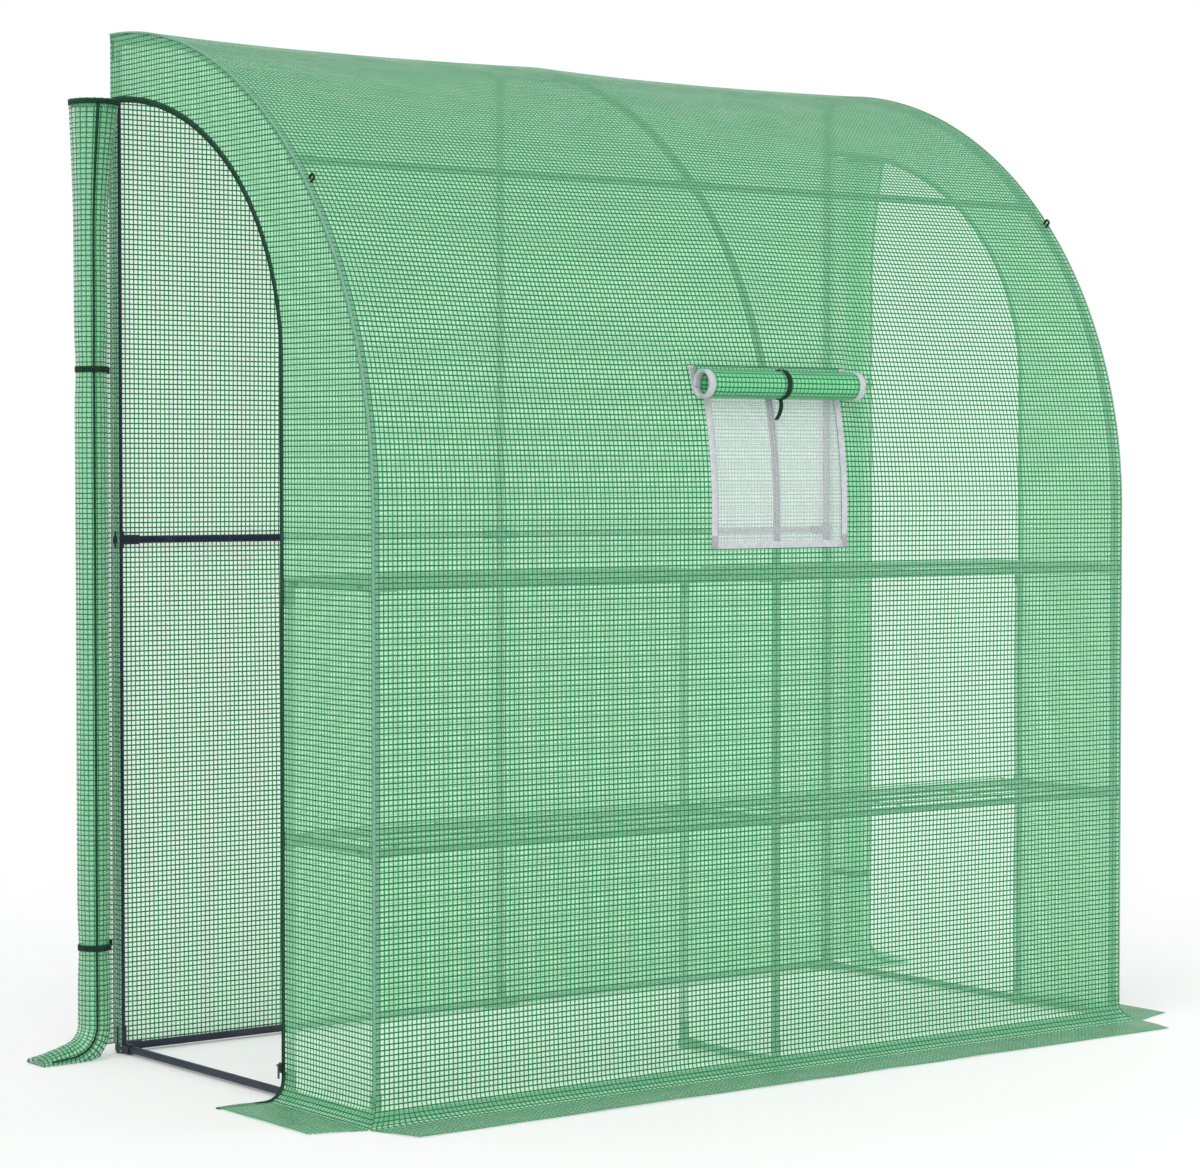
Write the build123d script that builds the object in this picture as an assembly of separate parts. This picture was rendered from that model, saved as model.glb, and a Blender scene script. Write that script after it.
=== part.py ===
"""Lean-to tunnel greenhouse: tube frame, moulded connectors, film covers, rolled doors and window flap."""
from build123d import *
import math
import os

os.makedirs("parts", exist_ok=True)

# Overall size, millimetres
LENGTH = 2000.0
DEPTH = 1000.0
WALL_HEIGHT = 1150.0
SKIRT = 150.0
SKIRT_BEND = 22.0

# Film, seams and seats
FILM = 1.0
SEAT_GAP = 0.3
CUT = 9.0

# Tubes and moulded connectors
TUBE_D = 16.0
TUBE_FIT = 0.15
ARCH_FIT = 0.6
SOCKET_D = 20.0
SOCKET_REACH = 45.0
TUBE_STOP = 12.0
SLEEVE = 36.0
FOOT_D = 22.0
FOOT_H = 3.0
BASE_Z = 12.0
TUBE_SIDES = 12
SOCKET_SIDES = 8
BORE_SIDES = 8

# Rails and shelves
LOWER_Z = 513.0
UPPER_Z = 1015.0
BACK_RAIL_Z = 1088.0
PURLIN_ANGLE = 44.0
SHELF_POST_IN = 14.0
WIRE = 3.0
LONG_WIRES = 9
CROSS_WIRES = 4

# Doorway, zip and rolled door
JAMB = 328.0
JAMB_TOP = 1445.0
DOOR_ARCH_RISE = 560.0
ZIP_TAPE = 12.0
ZIP_TAPE_T = 1.0
ZIP_COIL = 4.0
ZIP_COIL_T = 2.5
ZIP_PARK_Z = 64.0
SLIDER_W = 10.0
SLIDER_H = 20.0
SLIDER_T = 5.2
LUG = 2.0
PULL_STAND = 3.0
PULL_LENGTH = 26.0
PULL_T = 1.6
PULL_BAR_D = 2.0
PULL_FIT = 0.1
DOOR_CLOTH = 2.0
DOOR_ROLL_D = 74.0
DOOR_ROLL_OUT = 68.0
DOOR_ROLL_IN = 40.0
DOOR_HEM = 2.9
DOOR_TURN_STEP = 1.5
DOOR_QUARTERS = 12
DOOR_HOLD = 1
DOOR_FLARE = 1.38
DOOR_FLARE_LENGTH = 300.0
DOOR_TAIL_BEND = 72.0
DOOR_TAIL_REACH = 210.0
DOOR_TAIL_TOP = 118.0
TIE_LOW_Z = 235.0
TIE_HIGH_Z = 1445.0
TIE_W = 12.0
TIE_T = 1.5
TIE_EYE_IN = 6.0
TURN_CHORDS = 16

# Window, border and rolled flap
WINDOW_W = 364.0
WINDOW_DROP = 75.0
WINDOW_RISE = 295.0
BORDER = 15.0
BORDER_T = 1.5
SCREEN_T = 0.8
FLAP_W = 418.0
FLAP_CLOTH = 1.2
FLAP_TAPE = 15.0
FLAP_TAPE_CLOTH = 2.4
FLAP_ROLL_D = 60.0
FLAP_ROLL_RISE = 260.0
FLAP_ROLL_OFF = 33.0
FLAP_TURN_STEP = 0.8
FLAP_QUARTERS = 8
STRAP_W = 9.0
STRAP_T = 1.2
STRAP_TAIL = 38.0

# Guy loops
GUY_ANGLE = 40.0
GUY_IN = 12.0
GUY_R = 7.0
GUY_CORD = 3.0
GUY_LEG = 7.0

# Positions that follow from the sizes above
HEIGHT = WALL_HEIGHT + DEPTH
FRONT_Y = (SKIRT - DEPTH) / 2
BACK_Y = FRONT_Y + DEPTH
END_X = LENGTH / 2
INSET = FILM + SEAT_GAP + SOCKET_D / 2
HUB_X = END_X - INSET
FRAMES = {"left": -HUB_X, "mid": 0.0, "right": HUB_X}
BAYS = {"left": (-HUB_X, 0.0), "right": (0.0, HUB_X)}
FRONT_TUBE_Y = FRONT_Y + INSET
BACK_TUBE_Y = BACK_Y - INSET
SHELF_Y = FRONT_Y + JAMB - SHELF_POST_IN
ARCH_R = DEPTH - INSET
TOP_Z = WALL_HEIGHT + math.sqrt(ARCH_R**2 - INSET**2)
TIERS = {"lower": LOWER_Z, "upper": UPPER_Z}
WINDOW_LOW_Z = WALL_HEIGHT - WINDOW_DROP
WINDOW_TOP_Z = WALL_HEIGHT + WINDOW_RISE
DOOR_ARCH_RUN = DEPTH - JAMB
DOOR_TOP_Z = JAMB_TOP + DOOR_ARCH_RISE
ROLL_TOP_Z = DOOR_TOP_Z - DOOR_CLOTH
DOOR_R = (DOOR_ROLL_D - DOOR_CLOTH) / 2
DOOR_X = -END_X - DOOR_ROLL_OUT
DOOR_Y = BACK_Y - DOOR_ROLL_IN
DOOR_SEAM_Y = DOOR_Y + DOOR_R

X_AXIS = (1, 0, 0)
Y_AXIS = (0, 1, 0)
Z_AXIS = (0, 0, 1)
PARTS = {}


def group(solids):
    """One node that holds several solids."""
    return Compound([s for shape in solids for s in shape.solids()])


def moved(point, direction, amount):
    """Point that lies an amount along a direction."""
    return tuple(p + amount * d for p, d in zip(point, direction))


def negative(direction):
    """Opposite direction."""
    return tuple(-d for d in direction)


def across(direction):
    """Axis square to a rail direction, so that flats face the film."""
    return X_AXIS if abs(direction[0]) < 0.5 else Y_AXIS


def mirrored(shape):
    """Same piece at the right end."""
    return mirror(shape, about=Plane.YZ)


def yz(d, z):
    """Side view point: d behind the front film, z above the ground."""
    return (FRONT_Y + d, z)


def arc(centre, radius, start, end):
    """Arc through its middle point, angles in degrees."""
    spots = []
    for a in (start, (start + end) / 2, end):
        spots.append((centre[0] + radius * math.cos(math.radians(a)),
                      centre[1] + radius * math.sin(math.radians(a))))
    return ThreePointArc(*spots)


def along_x(face, x0, x1):
    """Side view face run along the length."""
    return extrude(Plane.YZ.offset(x0) * face, amount=x1 - x0)


def block(x, y, z):
    """Box from three ranges."""
    size = [b - a for a, b in (x, y, z)]
    middle = [(a + b) / 2 for a, b in (x, y, z)]
    return Pos(*middle) * Box(*size)


# Frame tubes


def tube(start, end):
    """Straight tube, closed at both ends by its connectors; its corners lie on the tube's round."""
    run = Vector(*end) - Vector(*start)
    plane = Plane(origin=start, z_dir=run)
    return extrude(plane * RegularPolygon(TUBE_D / 2, TUBE_SIDES), amount=run.length)


def between(hub_a, hub_b):
    """Tube between two hubs, each end at the floor of its socket."""
    run = (Vector(*hub_b) - Vector(*hub_a)).normalized()
    return tube(moved(hub_a, run, TUBE_STOP), moved(hub_b, run, -TUBE_STOP))


def arch_point(angle, radius=ARCH_R):
    """Point on a roof circle, angle above the spring line."""
    a = math.radians(angle)
    return (BACK_Y - radius * math.cos(a), WALL_HEIGHT + radius * math.sin(a))


def roof_arch(x):
    """Straight foot and quarter circle of one frame."""
    foot = tube((x, FRONT_TUBE_Y, UPPER_Z), (x, FRONT_TUBE_Y, WALL_HEIGHT))
    sweep_angle = 90.0 - math.degrees(math.asin((INSET + TUBE_STOP) / ARCH_R))
    ring = Plane(origin=(x, FRONT_TUBE_Y, WALL_HEIGHT), z_dir=Z_AXIS) * RegularPolygon(TUBE_D / 2, TUBE_SIDES)
    curve = revolve(ring, Axis((x, BACK_Y, WALL_HEIGHT), (-1, 0, 0)), sweep_angle)
    return foot + curve


for side, x in FRAMES.items():
    PARTS[f"front_post_{side}"] = tube((x, FRONT_TUBE_Y, BASE_Z + TUBE_STOP), (x, FRONT_TUBE_Y, UPPER_Z))
    PARTS[f"roof_arch_{side}"] = roof_arch(x)
    PARTS[f"back_post_{side}"] = between((x, BACK_TUBE_Y, BASE_Z), (x, BACK_TUBE_Y, TOP_Z))
    PARTS[f"shelf_post_{side}"] = between((x, SHELF_Y, BASE_Z), (x, SHELF_Y, UPPER_Z))

PURLIN = arch_point(PURLIN_ANGLE)
for side, (xa, xb) in BAYS.items():
    PARTS[f"base_rail_front_{side}"] = between((xa, FRONT_TUBE_Y, BASE_Z), (xb, FRONT_TUBE_Y, BASE_Z))
    PARTS[f"base_rail_back_{side}"] = between((xa, BACK_TUBE_Y, BASE_Z), (xb, BACK_TUBE_Y, BASE_Z))
    PARTS[f"back_rail_{side}"] = between((xa, BACK_TUBE_Y, BACK_RAIL_Z), (xb, BACK_TUBE_Y, BACK_RAIL_Z))

RIDGE = (BACK_TUBE_Y, TOP_Z)
PARTS["ridge_rails"] = group(between((a, *RIDGE), (b, *RIDGE)) for a, b in BAYS.values())
PARTS["purlins"] = group(between((a, *PURLIN), (b, *PURLIN)) for a, b in BAYS.values())

for side in ("left", "right"):
    x = FRAMES[side]
    PARTS[f"base_rail_end_{side}"] = between((x, FRONT_TUBE_Y, BASE_Z), (x, BACK_TUBE_Y, BASE_Z))
PARTS["base_link_mid"] = between((0.0, FRONT_TUBE_Y, BASE_Z), (0.0, SHELF_Y, BASE_Z))

for tier, z in TIERS.items():
    for row, y in (("front", FRONT_TUBE_Y), ("rear", SHELF_Y)):
        rails = [between((a, y, z), (b, y, z)) for a, b in BAYS.values()]
        PARTS[f"shelf_{row}_rails_{tier}"] = group(rails)
    sides = [between((x, FRONT_TUBE_Y, z), (x, SHELF_Y, z)) for x in FRAMES.values()]
    PARTS[f"shelf_side_rails_{tier}"] = group(sides)


# Wire shelves


def wire_shelf(xa, xb, z):
    """Long wires on cross wires that rest on the front and rear rail of one bay."""
    low = z + TUBE_D / 2 + SEAT_GAP
    reach = SOCKET_REACH + 2 * WIRE
    wires = []
    for i in range(CROSS_WIRES):
        x = xa + reach + (xb - xa - 2 * reach) * i / (CROSS_WIRES - 1)
        span = (FRONT_TUBE_Y - WIRE, SHELF_Y + WIRE)
        wires.append(block((x - WIRE / 2, x + WIRE / 2), span, (low, low + WIRE)))
    for i in range(LONG_WIRES):
        y = FRONT_TUBE_Y + (SHELF_Y - FRONT_TUBE_Y) * i / (LONG_WIRES - 1)
        span = (xa + reach - 2 * WIRE, xb - reach + 2 * WIRE)
        wires.append(block(span, (y - WIRE / 2, y + WIRE / 2), (low + WIRE, low + 2 * WIRE)))
    return group(wires)


for tier, z in TIERS.items():
    for side, (xa, xb) in BAYS.items():
        PARTS[f"wire_shelf_{tier}_{side}"] = wire_shelf(xa, xb, z)


# Moulded connectors


def prism(sides, width, start, direction, x_dir, length):
    """Many-sided bar with its flats square to x_dir."""
    plane = Plane(origin=start, x_dir=x_dir, z_dir=direction)
    outline = RegularPolygon(width / 2, sides, major_radius=False, rotation=180 / sides)
    return extrude(plane * outline, amount=length)


def socket(hub, direction, x_dir=None, back=SOCKET_D / 2):
    """Outside of one socket, from behind the hub to its mouth."""
    x_dir = x_dir or across(direction)
    start = moved(hub, direction, -back)
    return prism(SOCKET_SIDES, SOCKET_D, start, direction, x_dir, back + SOCKET_REACH)


def socket_bore(hub, direction, x_dir=None, fit=TUBE_FIT):
    """Blind bore that a tube end sits in."""
    x_dir = x_dir or across(direction)
    floor = moved(hub, direction, TUBE_STOP - TUBE_FIT)
    return prism(BORE_SIDES, TUBE_D + 2 * fit, floor, direction, x_dir, SOCKET_REACH)


def sleeve(hub, direction, width, length, sides):
    """Bar centred on a hub, along a tube that passes through."""
    return prism(sides, width, moved(hub, direction, -length / 2), direction, across(direction), length)


def foot(hub):
    """Small foot plate under a base connector."""
    return prism(SOCKET_SIDES, FOOT_D, (hub[0], hub[1], 0.0), Z_AXIS, X_AXIS, FOOT_H)


def connector(hub, legs, through=None, flat=None, stands=False):
    """Moulded connector with a socket per leg and, if a tube passes, a bored sleeve."""
    body = None
    for leg in legs:
        piece = socket(hub, leg, flat)
        body = piece if body is None else body + piece
    if through:
        body = body + sleeve(hub, through, SOCKET_D, SLEEVE, SOCKET_SIDES)
    if stands:
        body = body + foot(hub)
    for leg in legs:
        body = body - socket_bore(hub, leg, flat)
    if through:
        fit = ARCH_FIT if flat else TUBE_FIT
        body = body - sleeve(hub, through, TUBE_D + 2 * fit, SLEEVE + 2 * CUT, BORE_SIDES)
    return body


def rail_legs(side):
    """Directions of the rails along the length at one frame."""
    return {"left": [X_AXIS], "mid": [X_AXIS, negative(X_AXIS)], "right": [negative(X_AXIS)]}[side]


def ridge_connector(side, x):
    """Top of a back post: ridge rails, back post and the end of the roof arch."""
    hub = (x, BACK_TUBE_Y, TOP_Z)
    a = math.asin((INSET + SOCKET_REACH) / ARCH_R)
    mouth = (x, BACK_Y - ARCH_R * math.sin(a), WALL_HEIGHT + ARCH_R * math.cos(a))
    run = (Vector(*mouth) - Vector(*hub)).normalized()
    body = socket(hub, run, X_AXIS, back=0.0)
    legs = rail_legs(side) + [negative(Z_AXIS)]
    for leg in legs:
        body = body + socket(hub, leg)
    for leg in legs:
        body = body - socket_bore(hub, leg)
    return body - socket_bore(hub, run, X_AXIS, ARCH_FIT)


base_front, base_back, base_shelf, ridge = [], [], [], []
shelf_front, shelf_rear, back_rail, purlin = [], [], [], []
for side, x in FRAMES.items():
    rails = rail_legs(side)
    inward = negative(Y_AXIS)
    base_front.append(connector((x, FRONT_TUBE_Y, BASE_Z), rails + [Z_AXIS, Y_AXIS], stands=True))
    end_leg = [] if side == "mid" else [inward]
    base_back.append(connector((x, BACK_TUBE_Y, BASE_Z), rails + [Z_AXIS] + end_leg, stands=True))
    shelf_hub = (x, SHELF_Y, BASE_Z)
    if side == "mid":
        base_shelf.append(connector(shelf_hub, [Z_AXIS, inward], stands=True))
    else:
        base_shelf.append(connector(shelf_hub, [Z_AXIS], through=Y_AXIS, stands=True))
    for z in TIERS.values():
        shelf_front.append(connector((x, FRONT_TUBE_Y, z), rails + [Y_AXIS], through=Z_AXIS))
    shelf_rear.append(connector((x, SHELF_Y, LOWER_Z), rails + [inward], through=Z_AXIS))
    shelf_rear.append(connector((x, SHELF_Y, UPPER_Z), rails + [inward, negative(Z_AXIS)]))
    back_rail.append(connector((x, BACK_TUBE_Y, BACK_RAIL_Z), rails, through=Z_AXIS))
    tilt = math.radians(PURLIN_ANGLE)
    outward = (0.0, -math.cos(tilt), math.sin(tilt))
    tangent = (0.0, math.sin(tilt), math.cos(tilt))
    purlin.append(connector((x, *PURLIN), rails, through=tangent, flat=outward))
    ridge.append(ridge_connector(side, x))

PARTS["base_front_connectors"] = group(base_front)
PARTS["base_back_connectors"] = group(base_back)
PARTS["base_shelf_connectors"] = group(base_shelf)
PARTS["shelf_front_connectors"] = group(shelf_front)
PARTS["shelf_rear_connectors"] = group(shelf_rear)
PARTS["back_rail_connectors"] = group(back_rail)
PARTS["purlin_connectors"] = group(purlin)
PARTS["ridge_connectors"] = group(ridge)


# Film covers


ROOF_CENTRE = yz(DEPTH, WALL_HEIGHT)
BEND_Z = SKIRT_BEND + FILM


def front_profile():
    """Side view of skirt, bend, front wall and quarter-round roof."""
    bend = yz(-SKIRT_BEND, BEND_Z)
    return make_face([
        Line(yz(-SKIRT, 0), yz(-SKIRT_BEND, 0)),
        arc(bend, SKIRT_BEND + FILM, -90, 0),
        Line(yz(FILM, BEND_Z), yz(FILM, WALL_HEIGHT)),
        arc(ROOF_CENTRE, DEPTH - FILM, 180, 90),
        Line(yz(DEPTH, HEIGHT - FILM), yz(DEPTH, HEIGHT)),
        arc(ROOF_CENTRE, DEPTH, 90, 180),
        Line(yz(0, WALL_HEIGHT), yz(0, BEND_Z)),
        arc(bend, SKIRT_BEND, 0, -90),
        Line(yz(-SKIRT_BEND, FILM), yz(-SKIRT, FILM)),
        Line(yz(-SKIRT, FILM), yz(-SKIRT, 0)),
    ])


def wall_angle(z):
    """Angle on the roof circle at a height above the spring line."""
    return math.degrees(math.asin((z - WALL_HEIGHT) / DEPTH))


def wall_band(inner, outer, z0, z1, half):
    """Band that follows the front wall, offsets counted outward from the film's outer face."""
    top = 180 - wall_angle(z1)
    edge = [arch_point(wall_angle(z1), DEPTH + offset) for offset in (outer, inner)]
    face = make_face([
        Line(yz(-outer, z0), yz(-outer, WALL_HEIGHT)),
        arc(ROOF_CENTRE, DEPTH + outer, 180, top),
        Line(edge[0], edge[1]),
        arc(ROOF_CENTRE, DEPTH + inner, top, 180),
        Line(yz(-inner, WALL_HEIGHT), yz(-inner, z0)),
        Line(yz(-inner, z0), yz(-outer, z0)),
    ])
    return along_x(face, -half, half)


def window_hole():
    """Cutter for the netted opening inside the border."""
    return wall_band(-CUT, CUT, WINDOW_LOW_Z + BORDER, WINDOW_TOP_Z - BORDER, WINDOW_W / 2 - BORDER)


PARTS["front_cover"] = along_x(front_profile(), -END_X, END_X) - window_hole()
net_outer = -FILM - SEAT_GAP
PARTS["window_screen"] = wall_band(net_outer - SCREEN_T, net_outer, WINDOW_LOW_Z, WINDOW_TOP_Z, WINDOW_W / 2)
frame = wall_band(0.0, BORDER_T, WINDOW_LOW_Z, WINDOW_TOP_Z, WINDOW_W / 2)
PARTS["window_border"] = frame - window_hole()


def end_outline(inset):
    """Side view of an end, inside the front, roof and back covers."""
    radius = DEPTH - inset
    corner = WALL_HEIGHT + math.sqrt(radius**2 - inset**2)
    return make_face([
        Line(yz(inset, BEND_Z), yz(DEPTH - inset, BEND_Z)),
        Line(yz(DEPTH - inset, BEND_Z), yz(DEPTH - inset, corner)),
        arc(ROOF_CENTRE, radius, 90 + math.degrees(math.asin(inset / radius)), 180),
        Line(yz(inset, WALL_HEIGHT), yz(inset, BEND_Z)),
    ])


def doorway(grow, x0, x1):
    """Doorway block: straight jamb with a quarter-ellipse head, grown outward by a margin."""
    straight = block((x0, x1), (FRONT_Y + JAMB - grow, BACK_Y + DEPTH), (-SKIRT, JAMB_TOP))
    oval = Ellipse(DOOR_ARCH_RUN + grow, DOOR_ARCH_RISE + grow)
    head = extrude(Plane.YZ.offset(x0) * (Pos(*yz(DEPTH, JAMB_TOP)) * oval), amount=x1 - x0)
    return straight + head


def end_cover():
    """Left end panel around the doorway, with its skirt."""
    inset = FILM + SEAT_GAP
    panel = along_x(end_outline(inset), -END_X, -END_X + FILM) - doorway(0.0, -END_X - CUT, -END_X + CUT)
    bend = (-END_X - SKIRT_BEND, BEND_Z)
    skirt = make_face([
        Line((-END_X - SKIRT, 0), (-END_X - SKIRT_BEND, 0)),
        arc(bend, SKIRT_BEND + FILM, -90, 0),
        Line((-END_X + FILM, BEND_Z), (-END_X, BEND_Z)),
        arc(bend, SKIRT_BEND, 0, -90),
        Line((-END_X - SKIRT_BEND, FILM), (-END_X - SKIRT, FILM)),
        Line((-END_X - SKIRT, FILM), (-END_X - SKIRT, 0)),
    ])
    plane = Plane(origin=(0, FRONT_Y + JAMB, 0), x_dir=X_AXIS, z_dir=(0, -1, 0))
    return panel + extrude(plane * skirt, amount=JAMB - inset)


PARTS["end_cover_left"] = end_cover()
PARTS["end_cover_right"] = mirrored(PARTS["end_cover_left"])


def back_cover():
    """Flat back wall with a narrow flange at each end and the hem that the door is sewn to."""
    low = FOOT_H + SEAT_GAP
    sheet = block((-END_X, END_X), (BACK_Y - FILM, BACK_Y), (low, HEIGHT - FILM - SEAT_GAP))
    flange_y = (BACK_Y - FILM - SOCKET_D / 2, BACK_Y)
    hem_y = (DOOR_SEAM_Y - DOOR_CLOTH / 2, DOOR_SEAM_Y + DOOR_CLOTH / 2)
    flange = block((-END_X, -END_X + FILM), flange_y, (low, ROLL_TOP_Z))
    hem = block((-END_X - DOOR_HEM, -END_X), hem_y, (DOOR_TAIL_TOP, ROLL_TOP_Z))
    return sheet + flange + hem + mirrored(flange) + mirrored(hem)


PARTS["back_cover"] = back_cover()


# Zip track, slider and pull


def zip_track():
    """Sewn tape with its raised coil along the left jamb and arch."""
    inset = FILM + SEAT_GAP
    hole = doorway(0.0, -END_X - CUT, -END_X + CUT)
    tape = doorway(ZIP_TAPE, -END_X - ZIP_TAPE_T, -END_X)
    coil = doorway(ZIP_COIL, -END_X - ZIP_COIL_T, -END_X)
    zone = block((-END_X - CUT, -END_X), (FRONT_Y, BACK_Y - inset), (BEND_Z, HEIGHT))
    return ((tape + coil) & zone) - hole


SLIDER_Y = FRONT_Y + JAMB - ZIP_COIL / 2
SLIDER_FACE = -END_X - ZIP_TAPE_T - SEAT_GAP - SLIDER_T
PULL_X = SLIDER_FACE - PULL_STAND
PULL_Z = ZIP_PARK_Z + SLIDER_H / 4


def zip_slider():
    """Left slider that straddles the coil, with two lugs and a bar for the pull."""
    half = SLIDER_W / 2
    reach_y = (SLIDER_Y - half, SLIDER_Y + half)
    body = block((SLIDER_FACE, -END_X - ZIP_TAPE_T - SEAT_GAP), reach_y,
                 (ZIP_PARK_Z - SLIDER_H / 2, ZIP_PARK_Z + SLIDER_H / 2))
    groove_y = (SLIDER_Y - ZIP_COIL / 2 - SEAT_GAP, SLIDER_Y + ZIP_COIL / 2 + SEAT_GAP)
    body = body - block((-END_X - ZIP_COIL_T - SEAT_GAP, -END_X), groove_y, (0, 2 * ZIP_PARK_Z))
    for y0 in (reach_y[0], reach_y[1] - LUG):
        lug_x = (PULL_X - PULL_BAR_D, SLIDER_FACE)
        body = body + block(lug_x, (y0, y0 + LUG), (PULL_Z - PULL_BAR_D, PULL_Z + PULL_BAR_D))
    plane = Plane(origin=(PULL_X, reach_y[0], PULL_Z), z_dir=Y_AXIS)
    bar = plane * Cylinder(PULL_BAR_D / 2, SLIDER_W, align=(Align.CENTER, Align.CENTER, Align.MIN))
    return body + bar


def zip_pull():
    """Left pull tab hanging from the slider's bar by its eye."""
    width = SLIDER_W - 2 * LUG - 2 * SEAT_GAP
    inner = PULL_BAR_D / 2 + PULL_FIT
    outer = inner + PULL_BAR_D / 2
    plane = Plane(origin=(PULL_X, SLIDER_Y - width / 2, PULL_Z), z_dir=Y_AXIS)
    low = (Align.CENTER, Align.CENTER, Align.MIN)
    tab = block((PULL_X - PULL_T / 2, PULL_X + PULL_T / 2), (SLIDER_Y - width / 2, SLIDER_Y + width / 2),
                (PULL_Z - PULL_LENGTH, PULL_Z))
    tab = tab + plane * Cylinder(outer, width, align=low)
    return tab - plane * Cylinder(inner, width, align=low)


for name, piece in (("zip_track", zip_track()), ("zip_slider", zip_slider()), ("zip_pull", zip_pull())):
    PARTS[f"{name}_left"] = piece
    PARTS[f"{name}_right"] = mirrored(piece)


# Rolled cloth


def spiral_line(roll, offset):
    """Points along a roll, offset from its middle line; past its hold the radius falls each quarter turn."""
    centre, radius, step, quarters, hold, begin, turn = roll
    points = []
    for i in range(round(quarters * TURN_CHORDS / 4) + 1):
        a = math.radians(begin + turn * 360 * i / TURN_CHORDS)
        r = radius + offset - step * max(0.0, 4 * i / TURN_CHORDS - hold)
        points.append((centre[0] + r * math.cos(a), centre[1] + r * math.sin(a)))
    return points


def spiral_face(roll, cloth, lead=0.0):
    """Cloth band along a roll, with an optional straight lead-in of a given length."""
    begin, turn = math.radians(roll[-2]), roll[-1]
    back = (turn * math.sin(begin), -turn * math.cos(begin))
    sides = []
    for offset in (cloth / 2, -cloth / 2):
        side = spiral_line(roll, offset)
        sides.append([moved(side[0], back, lead)] + side if lead else side)
    return make_face(Polyline(*sides[0], *reversed(sides[1]), close=True))


def spiral_gap(roll, cloth):
    """Smallest free space between the turns of a roll, measured on its points."""
    line = spiral_line(roll, 0.0)
    near_turn = 3 * TURN_CHORDS // 4
    apart = [math.dist(p, q) for i, p in enumerate(line) for q in line[i + near_turn:]]
    return min(apart) * math.cos(math.pi / TURN_CHORDS) - cloth


# Rolled door at the left end

DOOR_LEAD = DOOR_ROLL_OUT - DOOR_HEM - SEAT_GAP
DOOR_ROLL = ((DOOR_X, DOOR_Y), DOOR_R, DOOR_TURN_STEP, DOOR_QUARTERS, DOOR_HOLD, 90, 1)


def door_roll():
    """Left door rolled sideways: web to the seam, flared head, foot turned out on the ground."""
    head_z = ROLL_TOP_Z - DOOR_FLARE_LENGTH
    body = extrude(Plane.XY.offset(DOOR_TAIL_TOP) * spiral_face(DOOR_ROLL, DOOR_CLOTH, DOOR_LEAD),
                   amount=head_z - DOOR_TAIL_TOP)
    seam_y = DOOR_SEAM_Y + DOOR_CLOTH / 2
    wide_centre = (DOOR_X, seam_y + DOOR_FLARE * (DOOR_Y - seam_y))
    wide = (wide_centre, DOOR_R * DOOR_FLARE, DOOR_TURN_STEP * DOOR_FLARE, *DOOR_ROLL[3:])
    low = Plane.XY.offset(head_z) * spiral_face(DOOR_ROLL, DOOR_CLOTH)
    high = Plane.XY.offset(ROLL_TOP_Z) * spiral_face(wide, DOOR_CLOTH * DOOR_FLARE)
    web = block((DOOR_X, DOOR_X + DOOR_LEAD), (DOOR_SEAM_Y - DOOR_CLOTH / 2, seam_y), (head_z, ROLL_TOP_Z))
    return body + loft([low, high], ruled=True) + web + door_tail()


def door_tail():
    """Foot of the outer turn: half pipe that bends out and lies on the ground."""
    turn_z = DOOR_TAIL_BEND + FILM
    half_pipe = ((DOOR_X, DOOR_Y), DOOR_R, 0.0, 2, 0, 90, 1)
    section = Plane.XY.offset(turn_z) * spiral_face(half_pipe, DOOR_CLOTH)
    drop = extrude(section, amount=DOOR_TAIL_TOP - turn_z)
    turn_x = DOOR_X - DOOR_TAIL_BEND
    bend = revolve(section, Axis((turn_x, 0, turn_z), Y_AXIS), 90)
    cover = spiral_face(((DOOR_Y, FILM), DOOR_R, 0.0, 2, 0, 0, 1), DOOR_CLOTH)
    lying = along_x(cover, -END_X - DOOR_TAIL_REACH, turn_x)
    return drop + bend + lying


def door_tie(z):
    """Strap around the rolled door and its web."""
    c = Pos(DOOR_X, DOOR_Y)
    eye = Pos(DOOR_X + DOOR_LEAD - TIE_EYE_IN, DOOR_SEAM_Y)
    inside = DOOR_ROLL_D / 2 + SEAT_GAP
    loops = []
    for grow in (TIE_T, 0.0):
        rings = (c * RegularPolygon(inside + grow, TURN_CHORDS)).edges()
        rings += (eye * RegularPolygon(DOOR_CLOTH / 2 + SEAT_GAP + grow, BORE_SIDES)).edges()
        loops.append(extrude(Plane.XY.offset(z - TIE_W / 2) * make_hull(rings), amount=TIE_W))
    slot_y = (DOOR_SEAM_Y - DOOR_CLOTH / 2 - SEAT_GAP, DOOR_SEAM_Y + DOOR_CLOTH / 2 + SEAT_GAP)
    slot = block((DOOR_X, -END_X), slot_y, (z - TIE_W, z + TIE_W))
    return loops[0] - loops[1] - slot


door_ties = group([door_tie(TIE_LOW_Z), door_tie(TIE_HIGH_Z)])
for name, piece in (("door_roll", door_roll()), ("door_ties", door_ties)):
    PARTS[f"{name}_left"] = piece
    PARTS[f"{name}_right"] = mirrored(piece)


# Rolled window flap

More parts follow.
